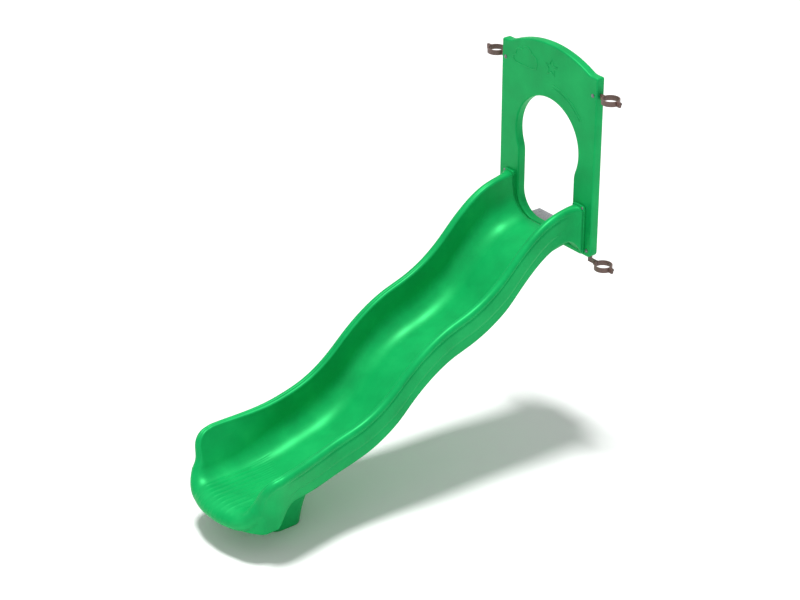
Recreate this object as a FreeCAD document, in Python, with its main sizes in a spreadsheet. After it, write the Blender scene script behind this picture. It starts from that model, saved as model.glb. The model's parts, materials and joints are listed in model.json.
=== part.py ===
import FreeCAD, Part
import math
import os
from types import SimpleNamespace

import Sketcher
from FreeCAD import Placement, Rotation, Vector

# Wave slide for a play tower with a 48 in deck. Millimetres, +Z up, ground at Z = 0.
# X runs across the slide, +Y towards the deck and the slide runs down towards -Y.
# The origin is on the ground, midway between the axes of the two tower posts.

doc = FreeCAD.newDocument("wave_slide")

# --------------------------------------------------------------------------------------------
# Driving sizes
# --------------------------------------------------------------------------------------------

SIZES = [
    # alias, millimetres, meaning
    ("post_spacing", 914.4, "distance between the post axes"),
    ("post_radius", 44.45, "radius of a tower post"),
    ("deck_height", 1219.2, "top of the deck above the ground"),
    ("deck_frame_depth", 64.2, "depth of the deck frame that rests on the deck bracket"),
    ("skin", 6.0, "wall thickness of the hollow mouldings"),
    ("rim_width", 50.0, "width of the rolled rim on each side wall"),
    ("chute_half_width", 295.0, "centre line to the outer face of a side wall"),
    ("wall_depth", 190.0, "rim to the lower edge of a side wall, on a level stretch"),
    ("wall_edge_radius", 15.0, "rounding of the side wall's lower edge"),
    ("wall_draft", 7.0, "inward lean of the inner wall, rim to bed corner"),
    ("bed_depth", 230.0, "rim to the sliding surface, on a level stretch"),
    ("bed_corner", 140.0, "radius between the bed and a side wall"),
    ("bed_skin", 12.0, "thickness of the bed"),
    ("ledge_start", 240.0, "centre line to the inner side of a hollow wall's underside"),
    ("flange_half_width", 338.0, "half width of the entry flange"),
    ("flange_bottom", 1115.0, "lower edge of the entry flange"),
    ("flange_thickness", 14.0, "thickness of the entry flange"),
    ("exit_half_width", 360.0, "half width over the rims of the flared exit"),
    ("skirt_half_width", 300.0, "half width over the side walls' lower edges at the exit"),
    ("exit_foot", 244.0, "centre line to the foot of the inner wall at the exit"),
    ("exit_bed_height", 248.0, "sliding surface at the exit"),
    ("exit_corner", 110.0, "radius between bed and wall at the exit"),
    ("horn_front", 2142.0, "front edge of the side walls, measured from the posts"),
    ("horn_bottom", 156.0, "lower end of the side walls' front edge"),
    ("horn_radius", 110.0, "rounding of the side walls' upper front corner"),
    ("lip_front", 2272.0, "front of the exit lip, measured from the posts"),
    ("lip_radius", 90.0, "radius of the exit lip as it curls down"),
    ("lip_bottom", 140.0, "lower edge of the exit lip"),
    ("lip_root", 180.0, "reach of the lip's skin back into the run-out"),
    ("panel_half_width", 380.0, "half width of the entry panel"),
    ("panel_thickness", 52.0, "thickness of the entry panel"),
    ("panel_bottom", 1105.0, "lower edge of the entry panel"),
    ("panel_corner", 30.0, "rounding of the panel's lower corners"),
    ("shoulder_corner", 10.0, "rounding of the shoulders' outer corners"),
    ("shoulder_height", 2140.0, "top of the panel's shoulders"),
    ("crown_height", 2217.0, "top of the panel's crown"),
    ("crown_radius", 700.0, "radius of the crown"),
    ("crown_fillet", 90.0, "radius between the crown and a shoulder"),
    ("opening_radius", 250.0, "radius of the opening's arch"),
    ("opening_centre", 1660.0, "height of the arch's centre"),
    ("opening_waist", 222.0, "half width of the opening's straight sides"),
    ("waist_radius", 150.0, "radius between the arch and a straight side"),
    ("opening_bottom", 1160.0, "lower edge of the opening"),
    ("opening_corner", 140.0, "radius of the opening's lower corners"),
    ("panel_edge_round", 8.0, "rounding of the panel's edges"),
    ("upper_clamp_height", 2038.0, "centre of the upper clamps"),
    ("lower_clamp_height", 1082.0, "centre of the lower clamps"),
    ("clamp_clearance", 0.1, "gap between a clamp and its post"),
    ("clamp_wall", 5.5, "thickness of a clamp ring"),
    ("clamp_band", 28.0, "height of a clamp ring"),
    ("clamp_gap", 2.0, "gap between a clamp's halves"),
    ("ear_thickness", 5.0, "thickness of a clamp ear"),
    ("ear_reach", 74.0, "post axis to the end of a clamp ear"),
    ("ear_bolt_reach", 61.0, "post axis to a clamp bolt"),
    ("tongue_half", 15.0, "a tongue's bolt to the tongue's edges"),
    ("tongue_lap", 5.0, "overlap of a tongue with its clamp's ear"),
    ("slot_play", 3.0, "gap between a tongue and the end of its slot"),
    ("band_play", 1.5, "gap between a tongue and the sides of its slot"),
    ("slot_slack", 1.0, "thickness of a slot beyond its tongue's"),
    ("panel_bolt_x", 349.0, "centre line to the bolts that hold the panel"),
    ("lower_panel_bolt", 1142.0, "height of the lower panel bolts"),
    ("bolt_radius", 4.8, "radius of a bolt's shank"),
    ("bolt_hole_radius", 5.5, "radius of a bolt's clearance hole"),
    ("head_radius", 9.0, "radius of a button head"),
    ("head_top_radius", 4.95, "radius of the flat on top of a button head"),
    ("head_height", 5.5, "height of a button head"),
    ("washer_radius", 11.0, "radius of a washer"),
    ("washer_thickness", 2.0, "thickness of a washer"),
    ("nut_radius", 9.2, "radius over a nut's corners"),
    ("nut_height", 8.0, "height of a nut"),
    ("nut_bore", 4.85, "radius of a nut's bore"),
    ("spot_face_depth", 54.0, "reach of the clearance round a flange bolt's head into the flare"),
    ("flange_bolt_x", 318.0, "centre line to the flange bolts at the sides"),
    ("flange_bolt_low", 1150.0, "height of the lowest side flange bolts"),
    ("flange_bolt_high", 1386.0, "height of the highest side flange bolts"),
    ("flange_bolt_base_x", 120.0, "centre line to the flange bolts under the bed"),
    ("flange_bolt_base", 1134.0, "height of the flange bolts under the bed"),
    ("backing_thickness", 4.0, "thickness of the backing plates"),
    ("backing_width", 40.0, "width of the backing plates"),
    ("backing_margin", 20.0, "backing plate beyond its highest and lowest bolts"),
    ("backing_corner", 8.0, "corner radius of the backing plates"),
    ("bracket_thickness", 5.0, "thickness of the deck bracket"),
    ("bracket_half_width", 190.0, "half width of the deck bracket"),
    ("bracket_depth", 84.0, "reach of the deck bracket's level leg"),
    ("bracket_drop", 46.0, "height of the deck bracket's upright leg"),
    ("bracket_bend", 4.0, "inner radius of the deck bracket's bend"),
    ("deck_bolt_x", 150.0, "centre line to the open holes for the deck bolts"),
    ("deck_bolt_y", 78.0, "post centre line to the open holes for the deck bolts"),
    ("pedestal_front", 1960.0, "front of the pedestal's foot"),
    ("pedestal_back", 1762.0, "back of the pedestal's foot"),
    ("pedestal_half_width", 132.0, "half width of the pedestal's foot"),
    ("pedestal_top_front", 2020.0, "front of the pedestal under the chute"),
    ("pedestal_top_back", 1650.0, "back of the pedestal under the chute"),
    ("pedestal_top_half", 216.0, "half width of the pedestal under the chute"),
    ("pedestal_corner", 60.0, "corner radius of the pedestal"),
    ("pedestal_wall", 8.0, "wall thickness of the pedestal"),
    ("pedestal_top", 300.0, "height of the pedestal before it is fitted to the chute"),
    ("saddle_gap", 1.0, "gap between the pedestal and the chute"),
    ("seat_height", 214.0, "top of the pedestal's inner floor, under the chute's bosses"),
    ("boss_radius", 18.0, "radius of the bosses under the run-out"),
    ("insert_radius", 8.0, "radius of a threaded insert"),
    ("insert_height", 22.0, "length of a threaded insert"),
    ("anchor_bolt_x", 70.0, "centre line to the anchor bolts"),
    ("anchor_bolt_front", 1925.0, "front anchor bolts, measured from the posts"),
    ("anchor_bolt_back", 1805.0, "back anchor bolts, measured from the posts"),
    ("anchor_plate", 6.0, "thickness of the anchor's top plate"),
    ("anchor_plate_half", 95.0, "half width of the anchor's top plate"),
    ("anchor_plate_margin", 26.0, "top plate beyond its bolts, front and back"),
    ("anchor_plate_corner", 14.0, "corner radius of the top plate"),
    ("leg_radius", 16.7, "outer radius of the anchor legs"),
    ("leg_wall", 3.4, "wall thickness of the anchor legs"),
    ("leg_x", 36.0, "centre line to an anchor leg"),
    ("leg_depth", 450.0, "length of the anchor legs below the ground"),
    ("crossbar_radius", 6.0, "radius of the anchor's crossbar"),
    ("crossbar_depth", 330.0, "crossbar below the ground"),
    ("crossbar_half", 120.0, "half length of the crossbar"),
    ("cap_height", 4.0, "height of a leg cap's disc"),
    ("cap_play", 0.2, "gap between a leg cap's stem and the leg's bore"),
    ("vent_x", 316.0, "centre line to the vents in the panel's back"),
    ("vent_height", 1760.0, "height of the vents"),
    ("plug_radius", 6.0, "radius of a vent plug's stem"),
    ("plug_stem", 9.0, "length of a vent plug's stem"),
    ("plug_head", 9.0, "radius of a vent plug's head"),
    ("plug_head_height", 2.5, "height of a vent plug's head"),
]

sheet = doc.addObject("Spreadsheet::Sheet", "sizes")
for row, (alias, millimetres, meaning) in enumerate(SIZES, start=1):
    sheet.set(f"A{row}", meaning)
    sheet.set(f"B{row}", str(millimetres))
    sheet.setAlias(f"B{row}", alias)
doc.recompute()


def size(alias):
    """The sheet's value for an alias, in millimetres."""
    return float(sheet.get(alias))


# --------------------------------------------------------------------------------------------
# The chute's wave
# --------------------------------------------------------------------------------------------

# The rim's path: distance from the posts, height and downhill slope in degrees. Two steep
# stretches with an easy one between them make the wave; the run-out after it is level.
RIM_KNOTS = [
    (0.0, 1400.0, 2.0),
    (200.0, 1371.0, 15.0),
    (500.0, 1163.0, 45.0),
    (850.0, 957.0, 15.5),
    (1235.0, 727.0, 43.0),
    (1540.0, 551.0, 14.0),
    (1750.0, 508.0, 8.0),
    (2000.0, 486.0, 4.0),
    (2200.0, 480.0, 0.5),
    (2400.0, 480.0, 0.0),
]
FLARE_END = 135.0        # the entry flare has died out at this distance
LEVEL_FROM = 1600.0      # the bed levels out and the side walls deepen towards the exit from here
LEVEL_TO = 1950.0
DEEPEN_BY = 25.0
TURN_DOWN_FROM = 1940.0  # the wall's lower edge turns down to the lip
LOFT_END = 2060.0        # the walls run straight from here to their front edge
FLARE_OUT_FROM = 1600.0  # the side walls lean out towards the exit from here
FLARE_OUT_TO = 2090.0
STATION_STEP = 65.0
RIM_FLAT = 1.5           # half of the level strip along the top of a rim
ROUND = 0.5523           # handle length that makes a cubic curve a quarter circle


def rim_at(distance):
    """Height and downhill gradient of the rim, by cubic curves between the knots."""
    for (x0, z0, slope0), (x1, z1, slope1) in zip(RIM_KNOTS, RIM_KNOTS[1:]):
        if distance <= x1:
            break
    span = x1 - x0
    part = (distance - x0) / span
    fall0 = -math.tan(math.radians(slope0)) * span
    fall1 = -math.tan(math.radians(slope1)) * span
    height = (
        z0 * (2 * part**3 - 3 * part**2 + 1)
        + z1 * (3 * part**2 - 2 * part**3)
        + fall0 * (part**3 - 2 * part**2 + part)
        + fall1 * (part**3 - part**2)
    )
    gradient = (
        (z0 - z1) * (6 * part**2 - 6 * part)
        + fall0 * (3 * part**2 - 4 * part + 1)
        + fall1 * (3 * part**2 - 2 * part)
    ) / span
    return height, -gradient


def ease(distance, start, end):
    """0 before start, 1 after end and a smooth step between."""
    part = min(max((distance - start) / (end - start), 0.0), 1.0)
    return part * part * (3.0 - 2.0 * part)


def mix(first, second, part):
    return first + (second - first) * part


def flare(distance):
    """1 at the entry flange, falling round a quarter ellipse to 0 where the flare ends."""
    start = 0.5 * size("panel_thickness") + size("flange_thickness")
    left = min(max((FLARE_END - distance) / (FLARE_END - start), 0.0), 1.0)
    return 1.0 - math.sqrt(1.0 - left * left)


def station(distance):
    """The cross-section's sizes at a distance from the posts. Depths run down from the rim."""
    height, gradient = rim_at(distance)
    # On a steep stretch a vertical cut through the same wall is deeper.
    steep = (1.0 + gradient**2) ** 0.25
    at_flange = flare(distance)
    at_exit = ease(distance, FLARE_OUT_FROM, FLARE_OUT_TO)
    turned_down = ease(distance, TURN_DOWN_FROM, LOFT_END)
    widened = mix(size("chute_half_width"), size("flange_half_width"), at_flange)
    inner = mix(size("chute_half_width"), size("exit_half_width"), at_exit) - size("rim_width")
    foot = size("chute_half_width") - size("rim_width") - size("wall_draft")
    levelled = ease(distance, LEVEL_FROM, LEVEL_TO)
    bed = mix(size("bed_depth") * steep, height - size("exit_bed_height"), levelled)
    wall = size("wall_depth") * steep + DEEPEN_BY * levelled
    wall = mix(wall, height - size("flange_bottom"), at_flange)
    wall = mix(wall, height - size("horn_bottom"), turned_down)
    underside = mix(bed + size("bed_skin"), height - size("flange_bottom"), at_flange)
    return SimpleNamespace(
        y=-distance,
        top=height,
        outer=mix(widened, size("exit_half_width"), at_exit),
        skirt=mix(widened, size("skirt_half_width"), at_exit),
        inner=inner,
        foot=mix(foot, size("exit_foot"), at_exit),
        bed=bed,
        corner=mix(size("bed_corner"), size("exit_corner"), at_exit) * mix(steep, 1.0, at_exit),
        underside=underside,
        wall=wall,
        ledge=size("ledge_start"),
        rim=0.5 * size("rim_width") - RIM_FLAT,
    )


def outline_wire(cut, path):
    """A closed wire in the cut's plane. A step is ("line", x, depth) or ("turn", corner, end)."""
    def point(x, depth):
        return Vector(x, cut.y, cut.top - depth)

    edges = []
    here = point(*path[0])
    for step in path[1:] + [("line",) + path[0]]:
        if step[0] == "line":
            there = point(step[1], step[2])
            edges.append(Part.makeLine(here, there))
        else:
            corner = point(*step[1])
            there = point(*step[2])
            curve = Part.BezierCurve()
            curve.setPoles([here, here + (corner - here) * ROUND, there + (corner - there) * ROUND, there])
            edges.append(curve.toShape())
        here = there
    return Part.Wire(edges)


def mirrored(steps_from, steps):
    """The steps of a right half, walked back on the left half."""
    points = [steps_from] + [step[-2:] if step[0] == "line" else step[2] for step in steps]
    back = []
    for step, (x, depth) in zip(reversed(steps), reversed(points[:-1])):
        if step[0] == "line":
            back.append(("line", -x, depth))
        else:
            back.append(("turn", (-step[1][0], step[1][1]), (-x, depth)))
    return back


def outside_half(cut):
    """The outside of the right half, from under the bed to the top of the rim."""
    edge = size("wall_edge_radius")
    return [
        ("turn", (cut.ledge, cut.underside), (cut.ledge, cut.wall)),
        ("line", cut.skirt - edge, cut.wall),
        ("turn", (cut.skirt, cut.wall), (cut.skirt, cut.wall - edge)),
        ("line", cut.outer, cut.rim),
        ("turn", (cut.outer, 0.0), (cut.outer - cut.rim, 0.0)),
    ]


def chute_wire(cut):
    """The chute's section: outside, rolled rims, inner walls and bed."""
    start = (cut.foot - cut.corner, cut.underside)
    half = outside_half(cut) + [
        ("line", cut.inner + cut.rim, 0.0),
        ("turn", (cut.inner, 0.0), (cut.inner, cut.rim)),
        ("line", cut.foot, cut.bed - cut.corner),
        ("turn", (cut.foot, cut.bed), (cut.foot - cut.corner, cut.bed)),
    ]
    across = [("line", cut.corner - cut.foot, cut.bed)]
    return outline_wire(cut, [start] + half + across + mirrored(start, half))


def envelope_wire(cut):
    """The outside of the section, closed straight across between the rims."""
    start = (cut.foot - cut.corner, cut.underside)
    half = outside_half(cut)
    across = [("line", cut.rim - cut.outer, 0.0)]
    return outline_wire(cut, [start] + half + across + mirrored(start, half))


def rail_void_wire(cut, side):
    """The hollow inside a side wall."""
    skin = size("skin")
    steps = [
        (side * (cut.skirt - skin), cut.wall - skin),
        ("line", side * (cut.outer - skin), cut.rim),
        ("turn", (side * (cut.outer - skin), skin), (side * (cut.outer - cut.rim), skin)),
        ("turn", (side * (cut.inner + skin), skin), (side * (cut.inner + skin), cut.rim)),
        ("line", side * (cut.foot + skin), cut.bed - cut.corner),
        ("line", side * (cut.ledge - 2 * skin), cut.wall - skin),
    ]
    return outline_wire(cut, steps)


def distances(start, end):
    """Evenly spaced cuts from start to end, both included."""
    count = round((end - start) / STATION_STEP)
    return [start + (end - start) * number / count for number in range(count + 1)]


def set_shape(name, shape):
    """A Part::Feature for a free-form shape that sketches and primitives can't hold."""
    feature = doc.addObject("Part::Feature", name)
    feature.Shape = shape
    return feature


# --------------------------------------------------------------------------------------------
# Helpers for sketches, bodies, primitives and booleans
# --------------------------------------------------------------------------------------------

def origin_plane(body, role):
    return next(item for item in body.Origin.OriginFeatures if item.Role == role)


def new_body(name, label=None):
    body = doc.addObject("PartDesign::Body", name)
    body.Label = label or name
    return body


def new_sketch(body, name, role, offset=None):
    """A sketch on one of the body's own origin planes, moved by an offset in the plane's frame."""
    sketch = body.newObject("Sketcher::SketchObject", name)
    sketch.AttachmentSupport = [(origin_plane(body, role), "")]
    sketch.MapMode = "FlatFace"
    sketch.AttachmentOffset = offset or Placement()
    return sketch


def arc(centre, radius, start, end):
    """An outline step along a circle, from one angle to another in degrees."""
    def at(angle):
        turn = math.radians(angle)
        return centre[0] + radius * math.cos(turn), centre[1] + radius * math.sin(turn)

    return ("arc", at(0.5 * (start + end)), at(end))


def line(x, y):
    return ("line", (x, y))


def draw_outline(sketch, start, steps):
    """A closed outline of lines and arcs, joined end to end."""
    ends = []
    here = Vector(*start, 0)
    for kind, *points in steps:
        there = Vector(*points[-1], 0)
        if kind == "line":
            edge = Part.LineSegment(here, there)
        else:
            edge = Part.Arc(here, Vector(*points[0], 0), there)
        number = sketch.addGeometry(edge, False)
        starts_here = sketch.getPoint(number, 1).distanceToPoint(here) < 1e-6
        ends.append((number, 1, 2) if starts_here else (number, 2, 1))
        here = there
    for (first, _, first_end), (second, second_start, _) in zip(ends, ends[1:] + ends[:1]):
        sketch.addConstraint(Sketcher.Constraint("Coincident", first, first_end, second, second_start))


def bind(sketch, constraint, name, expression):
    """Adds a dimension and ties it to the sheet."""
    number = sketch.addConstraint(constraint)
    sketch.renameConstraint(number, name)
    sketch.setExpression(f"Constraints.{name}", expression)


def draw_circles(sketch, centres, radius):
    """Circles whose centres and radius are all expressions."""
    for index, (across, up) in enumerate(centres):
        circle = Part.Circle(Vector(index + 1, index + 1, 0), Vector(0, 0, 1), 1)
        number = sketch.addGeometry(circle, False)
        bind(sketch, Sketcher.Constraint("Radius", number, 1.0), f"radius{index}", radius)
        bind(sketch, Sketcher.Constraint("DistanceX", -1, 1, number, 3, 1.0), f"across{index}", across)
        bind(sketch, Sketcher.Constraint("DistanceY", -1, 1, number, 3, 1.0), f"up{index}", up)


def draw_rounded_box(sketch, low, high, radius):
    """A rounded rectangle between two corners."""
    (x0, y0), (x1, y1) = low, high
    steps = [
        line(x1 - radius, y0), arc((x1 - radius, y0 + radius), radius, -90, 0),
        line(x1, y1 - radius), arc((x1 - radius, y1 - radius), radius, 0, 90),
        line(x0 + radius, y1), arc((x0 + radius, y1 - radius), radius, 90, 180),
        line(x0, y0 + radius), arc((x0 + radius, y0 + radius), radius, 180, 270),
    ]
    draw_outline(sketch, (x0 + radius, y0), steps)


def draw_box(sketch, low, high):
    (x0, y0), (x1, y1) = low, high
    draw_outline(sketch, low, [line(x1, y0), line(x1, y1), line(x0, y1), line(x0, y0)])


def pad(body, name, sketch, length, both_ways=False):
    feature = body.newObject("PartDesign::Pad", name)
    feature.Profile = sketch
    feature.setExpression("Length", length)
    if both_ways:
        feature.SideType = "Symmetric"
    doc.recompute()
    return feature


def pocket(body, name, sketch, length, both_ways=True):
    """A cut that must take something away."""
    before = body.Shape.Volume
    feature = body.newObject("PartDesign::Pocket", name)
    feature.Profile = sketch
    feature.setExpression("Length", length)
    if both_ways:
        feature.SideType = "Symmetric"
    doc.recompute()
    if not body.Shape.Volume < before:
        raise RuntimeError(f"{name} cuts nothing")
    return feature


def primitive(kind, name, position, axis=(0, 0, 1), **sizes):
    """A Part primitive with its sizes bound to the sheet."""
    item = doc.addObject(f"Part::{kind}", name)
    for prop, expression in sizes.items():
        item.setExpression(prop, expression)
    item.Placement = Placement(Vector(*position), Rotation(Vector(0, 0, 1), Vector(*axis)))
    return item


def fuse(name, items):
    joined = doc.addObject("Part::MultiFuse", name)
    joined.Shapes = items
    return joined


def cut(name, base, tool):
    result = doc.addObject("Part::Cut", name)
    result.Base = base
    result.Tool = tool
    return result


def group(name, items):
    """Identical pieces as separate solids of one node."""
    compound = doc.addObject("Part::Compound", name)
    compound.Links = items
    return compound


def box_between(name, low, high):
    item = doc.addObject("Part::Box", name)
    item.Length, item.Width, item.Height = (b - a for a, b in zip(low, high))
    item.Placement = Placement(Vector(*low), Rotation())
    return item


# --------------------------------------------------------------------------------------------
# Chute
# --------------------------------------------------------------------------------------------

panel_front = 0.5 * size("panel_thickness")
flange_front = panel_front + size("flange_thickness")
flare_cuts = [mix(flange_front, FLARE_END, part) for part in (0.0, 0.04, 0.12, 0.25, 0.45, 0.7)]
run_cuts = distances(FLARE_END, LOFT_END)
SPARE = 10.0  # a cutting tool's extra length
OUT_OF_FLANGE = (0, -1, 0)


def flange_bolt_places():
    """Where the flange bolts cross the panel: at both sides, and under the bed."""
    low, high = size("flange_bolt_low"), size("flange_bolt_high")
    heights = (low, 0.5 * (low + high), high)
    sides = [(side * size("flange_bolt_x"), height) for side in (-1, 1) for height in heights]
    base = [(side * size("flange_bolt_base_x"), size("flange_bolt_base")) for side in (-1, 1)]
    return sides, base


def chute_loft(name, wire_of):
    """Flange, flare and run of the chute as one loft, with its ends drawn straight out."""
    run = Part.makeLoft([wire_of(station(distance)) for distance in flare_cuts + run_cuts], True)
    flange = Part.Face(wire_of(station(flange_front))).extrude(Vector(0, size("flange_thickness"), 0))
    horn_length = size("horn_front") - LOFT_END
    horns = Part.Face(wire_of(station(LOFT_END))).extrude(Vector(0, -horn_length, 0))
    return set_shape(name, run.fuse([flange, horns]).Solids[0])


def exit_lip():
    """The lip: a skin that curls down, turned about the centre of the exit's round front."""
    half, front = size("skirt_half_width"), size("lip_front")
    bulge = front - size("horn_front")
    turn_radius = (half**2 + bulge**2) / (2 * bulge)
    curl, skin = size("lip_radius"), size("bed_skin")
    top, bottom = size("exit_bed_height"), size("lip_bottom")
    crest = turn_radius - curl
    middle = top - curl
    body = new_body("exit_lip")
    # The sketch's upright axis is the axis that the lip is turned about.
    turn_axis = Placement(Vector(turn_radius - front, 0, 0), Rotation())
    sketch = new_sketch(body, "lip_profile", "YZ_Plane", turn_axis)
    start_radius = crest - size("lip_root")
    draw_outline(sketch, (-start_radius, top - skin), [
        line(-crest, top - skin),
        arc((-crest, middle), curl - skin, 90, 180),
        line(-(turn_radius - skin), bottom + 0.5 * skin),
        arc((-(turn_radius - 0.5 * skin), bottom + 0.5 * skin), 0.5 * skin, 0, -180),
        line(-turn_radius, middle),
        arc((-crest, middle), curl, 180, 90),
        line(-start_radius, top),
        line(-start_radius, top - skin),
    ])
    lip = body.newObject("PartDesign::Revolution", "lip_turn")
    lip.Profile = sketch
    lip.ReferenceAxis = (sketch, ["V_Axis"])
    lip.Midplane = True
    lip.Angle = 100.0
    doc.recompute()
    keep = box_between("lip_keep", (-half, -front - SPARE, 0), (half, -size("horn_front"), top + SPARE))
    common = doc.addObject("Part::MultiCommon", "exit_lip_trimmed")
    common.Shapes = [body, keep]
    return common


def horn_corner():
    """What the round upper corners of the side walls' front edges lose."""
    radius = size("horn_radius")
    front = size("horn_front")
    rim = rim_at(front)[0]
    half = size("exit_half_width") + SPARE
    centre_y, centre_z = radius - front, rim - radius
    block = box_between("horn_block", (-half, -front - SPARE, centre_z), (half, centre_y, rim + SPARE))
    round_part = primitive(
        "Cylinder", "horn_round", (-half, centre_y, centre_z), (1, 0, 0), Radius="sizes.horn_radius",
    )
    round_part.Height = 2 * half
    return cut("horn_corner", block, round_part)


def anchor_places():
    """The four anchor bolts under the run-out."""
    rows = (size("anchor_bolt_front"), size("anchor_bolt_back"))
    return [(side * size("anchor_bolt_x"), -row) for row in rows for side in (-1, 1)]


def wave_chute():
    trough = chute_loft("chute_trough", chute_wire)
    voids = []
    for name, side in (("rail_void_left", -1), ("rail_void_right", 1)):
        wires = [rail_void_wire(station(cut_at), side) for cut_at in distances(FLARE_END, TURN_DOWN_FROM)]
        voids.append(set_shape(name, Part.makeLoft(wires, True)))
    sides, base = flange_bolt_places()
    holes = []
    for index, (x, z) in enumerate(sides + base):
        hole = primitive(
            "Cylinder", f"flange_hole{index}", (x, 0, z), OUT_OF_FLANGE, Radius="sizes.bolt_hole_radius",
        )
        hole.Height = flange_front + SPARE
        face = primitive(
            "Cylinder", f"spot_face{index}", (x, -flange_front, z), OUT_OF_FLANGE,
            Radius="sizes.washer_radius + 1", Height="sizes.spot_face_depth",
        )
        holes += [hole, face]
    hollow = cut("chute_hollow", trough, group("rail_voids", voids))
    opened = cut("chute_opened", hollow, fuse("chute_cuts", [horn_corner()] + holes))
    bosses, sockets = [], []
    for index, (x, y) in enumerate(anchor_places()):
        under = station(-y)
        top = under.top - under.underside + 0.5 * size("bed_skin")
        boss = primitive("Cylinder", f"boss{index}", (x, y, size("seat_height")), Radius="sizes.boss_radius")
        boss.Height = top - size("seat_height")
        bosses.append(boss)
        sockets.append(primitive(
            "Cylinder", f"socket{index}", (x, y, size("seat_height") - 1),
            Radius="sizes.insert_radius", Height="sizes.insert_height + 1",
        ))
    joined = fuse("chute_joined", [opened, exit_lip()] + bosses)
    return cut("wave_chute", joined, fuse("insert_sockets", sockets))


# --------------------------------------------------------------------------------------------
# Entry panel
# --------------------------------------------------------------------------------------------

def panel_outline():
    """Start point and steps of the panel's outline: straight sides, shoulders and a crown."""
    half, low, shoulder = size("panel_half_width"), size("panel_bottom"), size("shoulder_height")
    corner, tip = size("panel_corner"), size("shoulder_corner")
    radius, fillet = size("crown_radius"), size("crown_fillet")
    crown_centre = size("crown_height") - radius
    rise = shoulder + fillet - crown_centre
    reach = math.sqrt((radius + fillet) ** 2 - rise**2)
    angle = math.degrees(math.atan2(rise, reach))
    steps = [
        line(half - corner, low), arc((half - corner, low + corner), corner, -90, 0),
        line(half, shoulder - tip), arc((half - tip, shoulder - tip), tip, 0, 90),
        line(reach, shoulder), arc((reach, shoulder + fillet), fillet, -90, angle - 180),
        arc((0, crown_centre), radius, angle, 180 - angle),
        arc((-reach, shoulder + fillet), fillet, -angle, -90),
        line(tip - half, shoulder), arc((tip - half, shoulder - tip), tip, 90, 180),
        line(-half, low + corner), arc((corner - half, low + corner), corner, 180, 270),
    ]
    return (corner - half, low), steps


def opening_outline():
    """Start point and steps of the opening: an arch, a waist and round lower corners."""
    waist, low, corner = size("opening_waist"), size("opening_bottom"), size("opening_corner")
    radius, fillet, centre = size("opening_radius"), size("waist_radius"), size("opening_centre")
    fall = math.sqrt((radius + fillet) ** 2 - (waist + fillet) ** 2)
    angle = math.degrees(math.atan2(fall, waist + fillet))
    steps = [
        line(waist - corner, low), arc((waist - corner, low + corner), corner, -90, 0),
        line(waist, centre - fall), arc((waist + fillet, centre - fall), fillet, 180, 180 - angle),
        arc((0, centre), radius, -angle, 180 + angle),
        arc((-waist - fillet, centre - fall), fillet, angle, 0),
        line(-waist, low + corner), arc((corner - waist, low + corner), corner, 180, 270),
    ]
    return (corner - waist, low), steps


def slot_boxes(margin):
    """The four slots in the panel's edge that take the clamps' tongues, with a margin around them."""
    reach = size("tongue_half") + size("slot_play")
    inner, outer = size("panel_bolt_x") - reach, size("panel_bolt_x") + reach
    half, band = size("panel_half_width"), 0.5 * size("clamp_band") + size("band_play")
    upper, low = size("upper_clamp_height"), size("panel_bottom")
    upper_slot = (inner, upper - band), (half + SPARE, upper + band)
    lower_slot = (inner, low - SPARE), (outer, size("lower_panel_bolt") + reach)
    boxes = []
    for side in (-1, 1):
        for (x0, z0), (x1, z1) in (upper_slot, lower_slot):
            left, right = sorted((side * (x0 - margin), side * (x1 + margin)))
            boxes.append(((left, z0 - margin), (right, z1 + margin)))
    return boxes


def panel_corner_places():
    """Where the panel bolts hold the clamps' tongues."""
    heights = (size("upper_clamp_height"), size("lower_panel_bolt"))
    return [(side * size("panel_bolt_x"), height) for side in (-1, 1) for height in heights]


def panel_hole_places():
    sides, base = flange_bolt_places()
    return panel_corner_places() + sides + base


def vent_places():
    return [(side * size("vent_x"), size("vent_height")) for side in (-1, 1)]


def panel_core():
    """The hollow of the panel: its outline drawn in by the skin, less the material at each fixing."""
    skin, thickness = size("skin"), size("panel_thickness")
    wires = []
    for start, steps in (panel_outline(), opening_outline()):
        edges = []
        here = start
        for kind, *points in steps:
            first, last = (Vector(x, 0, z) for x, z in (here, points[-1]))
            if kind == "line":
                edges.append(Part.makeLine(first, last))
            else:
                edges.append(Part.Arc(first, Vector(points[0][0], 0, points[0][1]), last).toShape())
            here = points[-1]
        wires.append(Part.Wire(edges))
    outer = wires[0].makeOffset2D(-skin)
    inner = wires[1].makeOffset2D(skin)
    face = Part.Face(outer).cut(Part.Face(inner)).Faces[0]
    depth = thickness - 2 * skin
    core = face.extrude(Vector(0, depth, 0))
    core.translate(Vector(0, -0.5 * depth, 0))
    keep = []
    for (x0, z0), (x1, z1) in slot_boxes(skin):
        keep.append(Part.makeBox(x1 - x0, thickness, z1 - z0, Vector(x0, -0.5 * thickness, z0)))
    for x, z in panel_hole_places():
        keep.append(Part.makeCylinder(
            size("bolt_hole_radius") + skin, thickness, Vector(x, -0.5 * thickness, z), Vector(0, 1, 0),
        ))
    return set_shape("panel_core", core.cut(keep))


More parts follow.
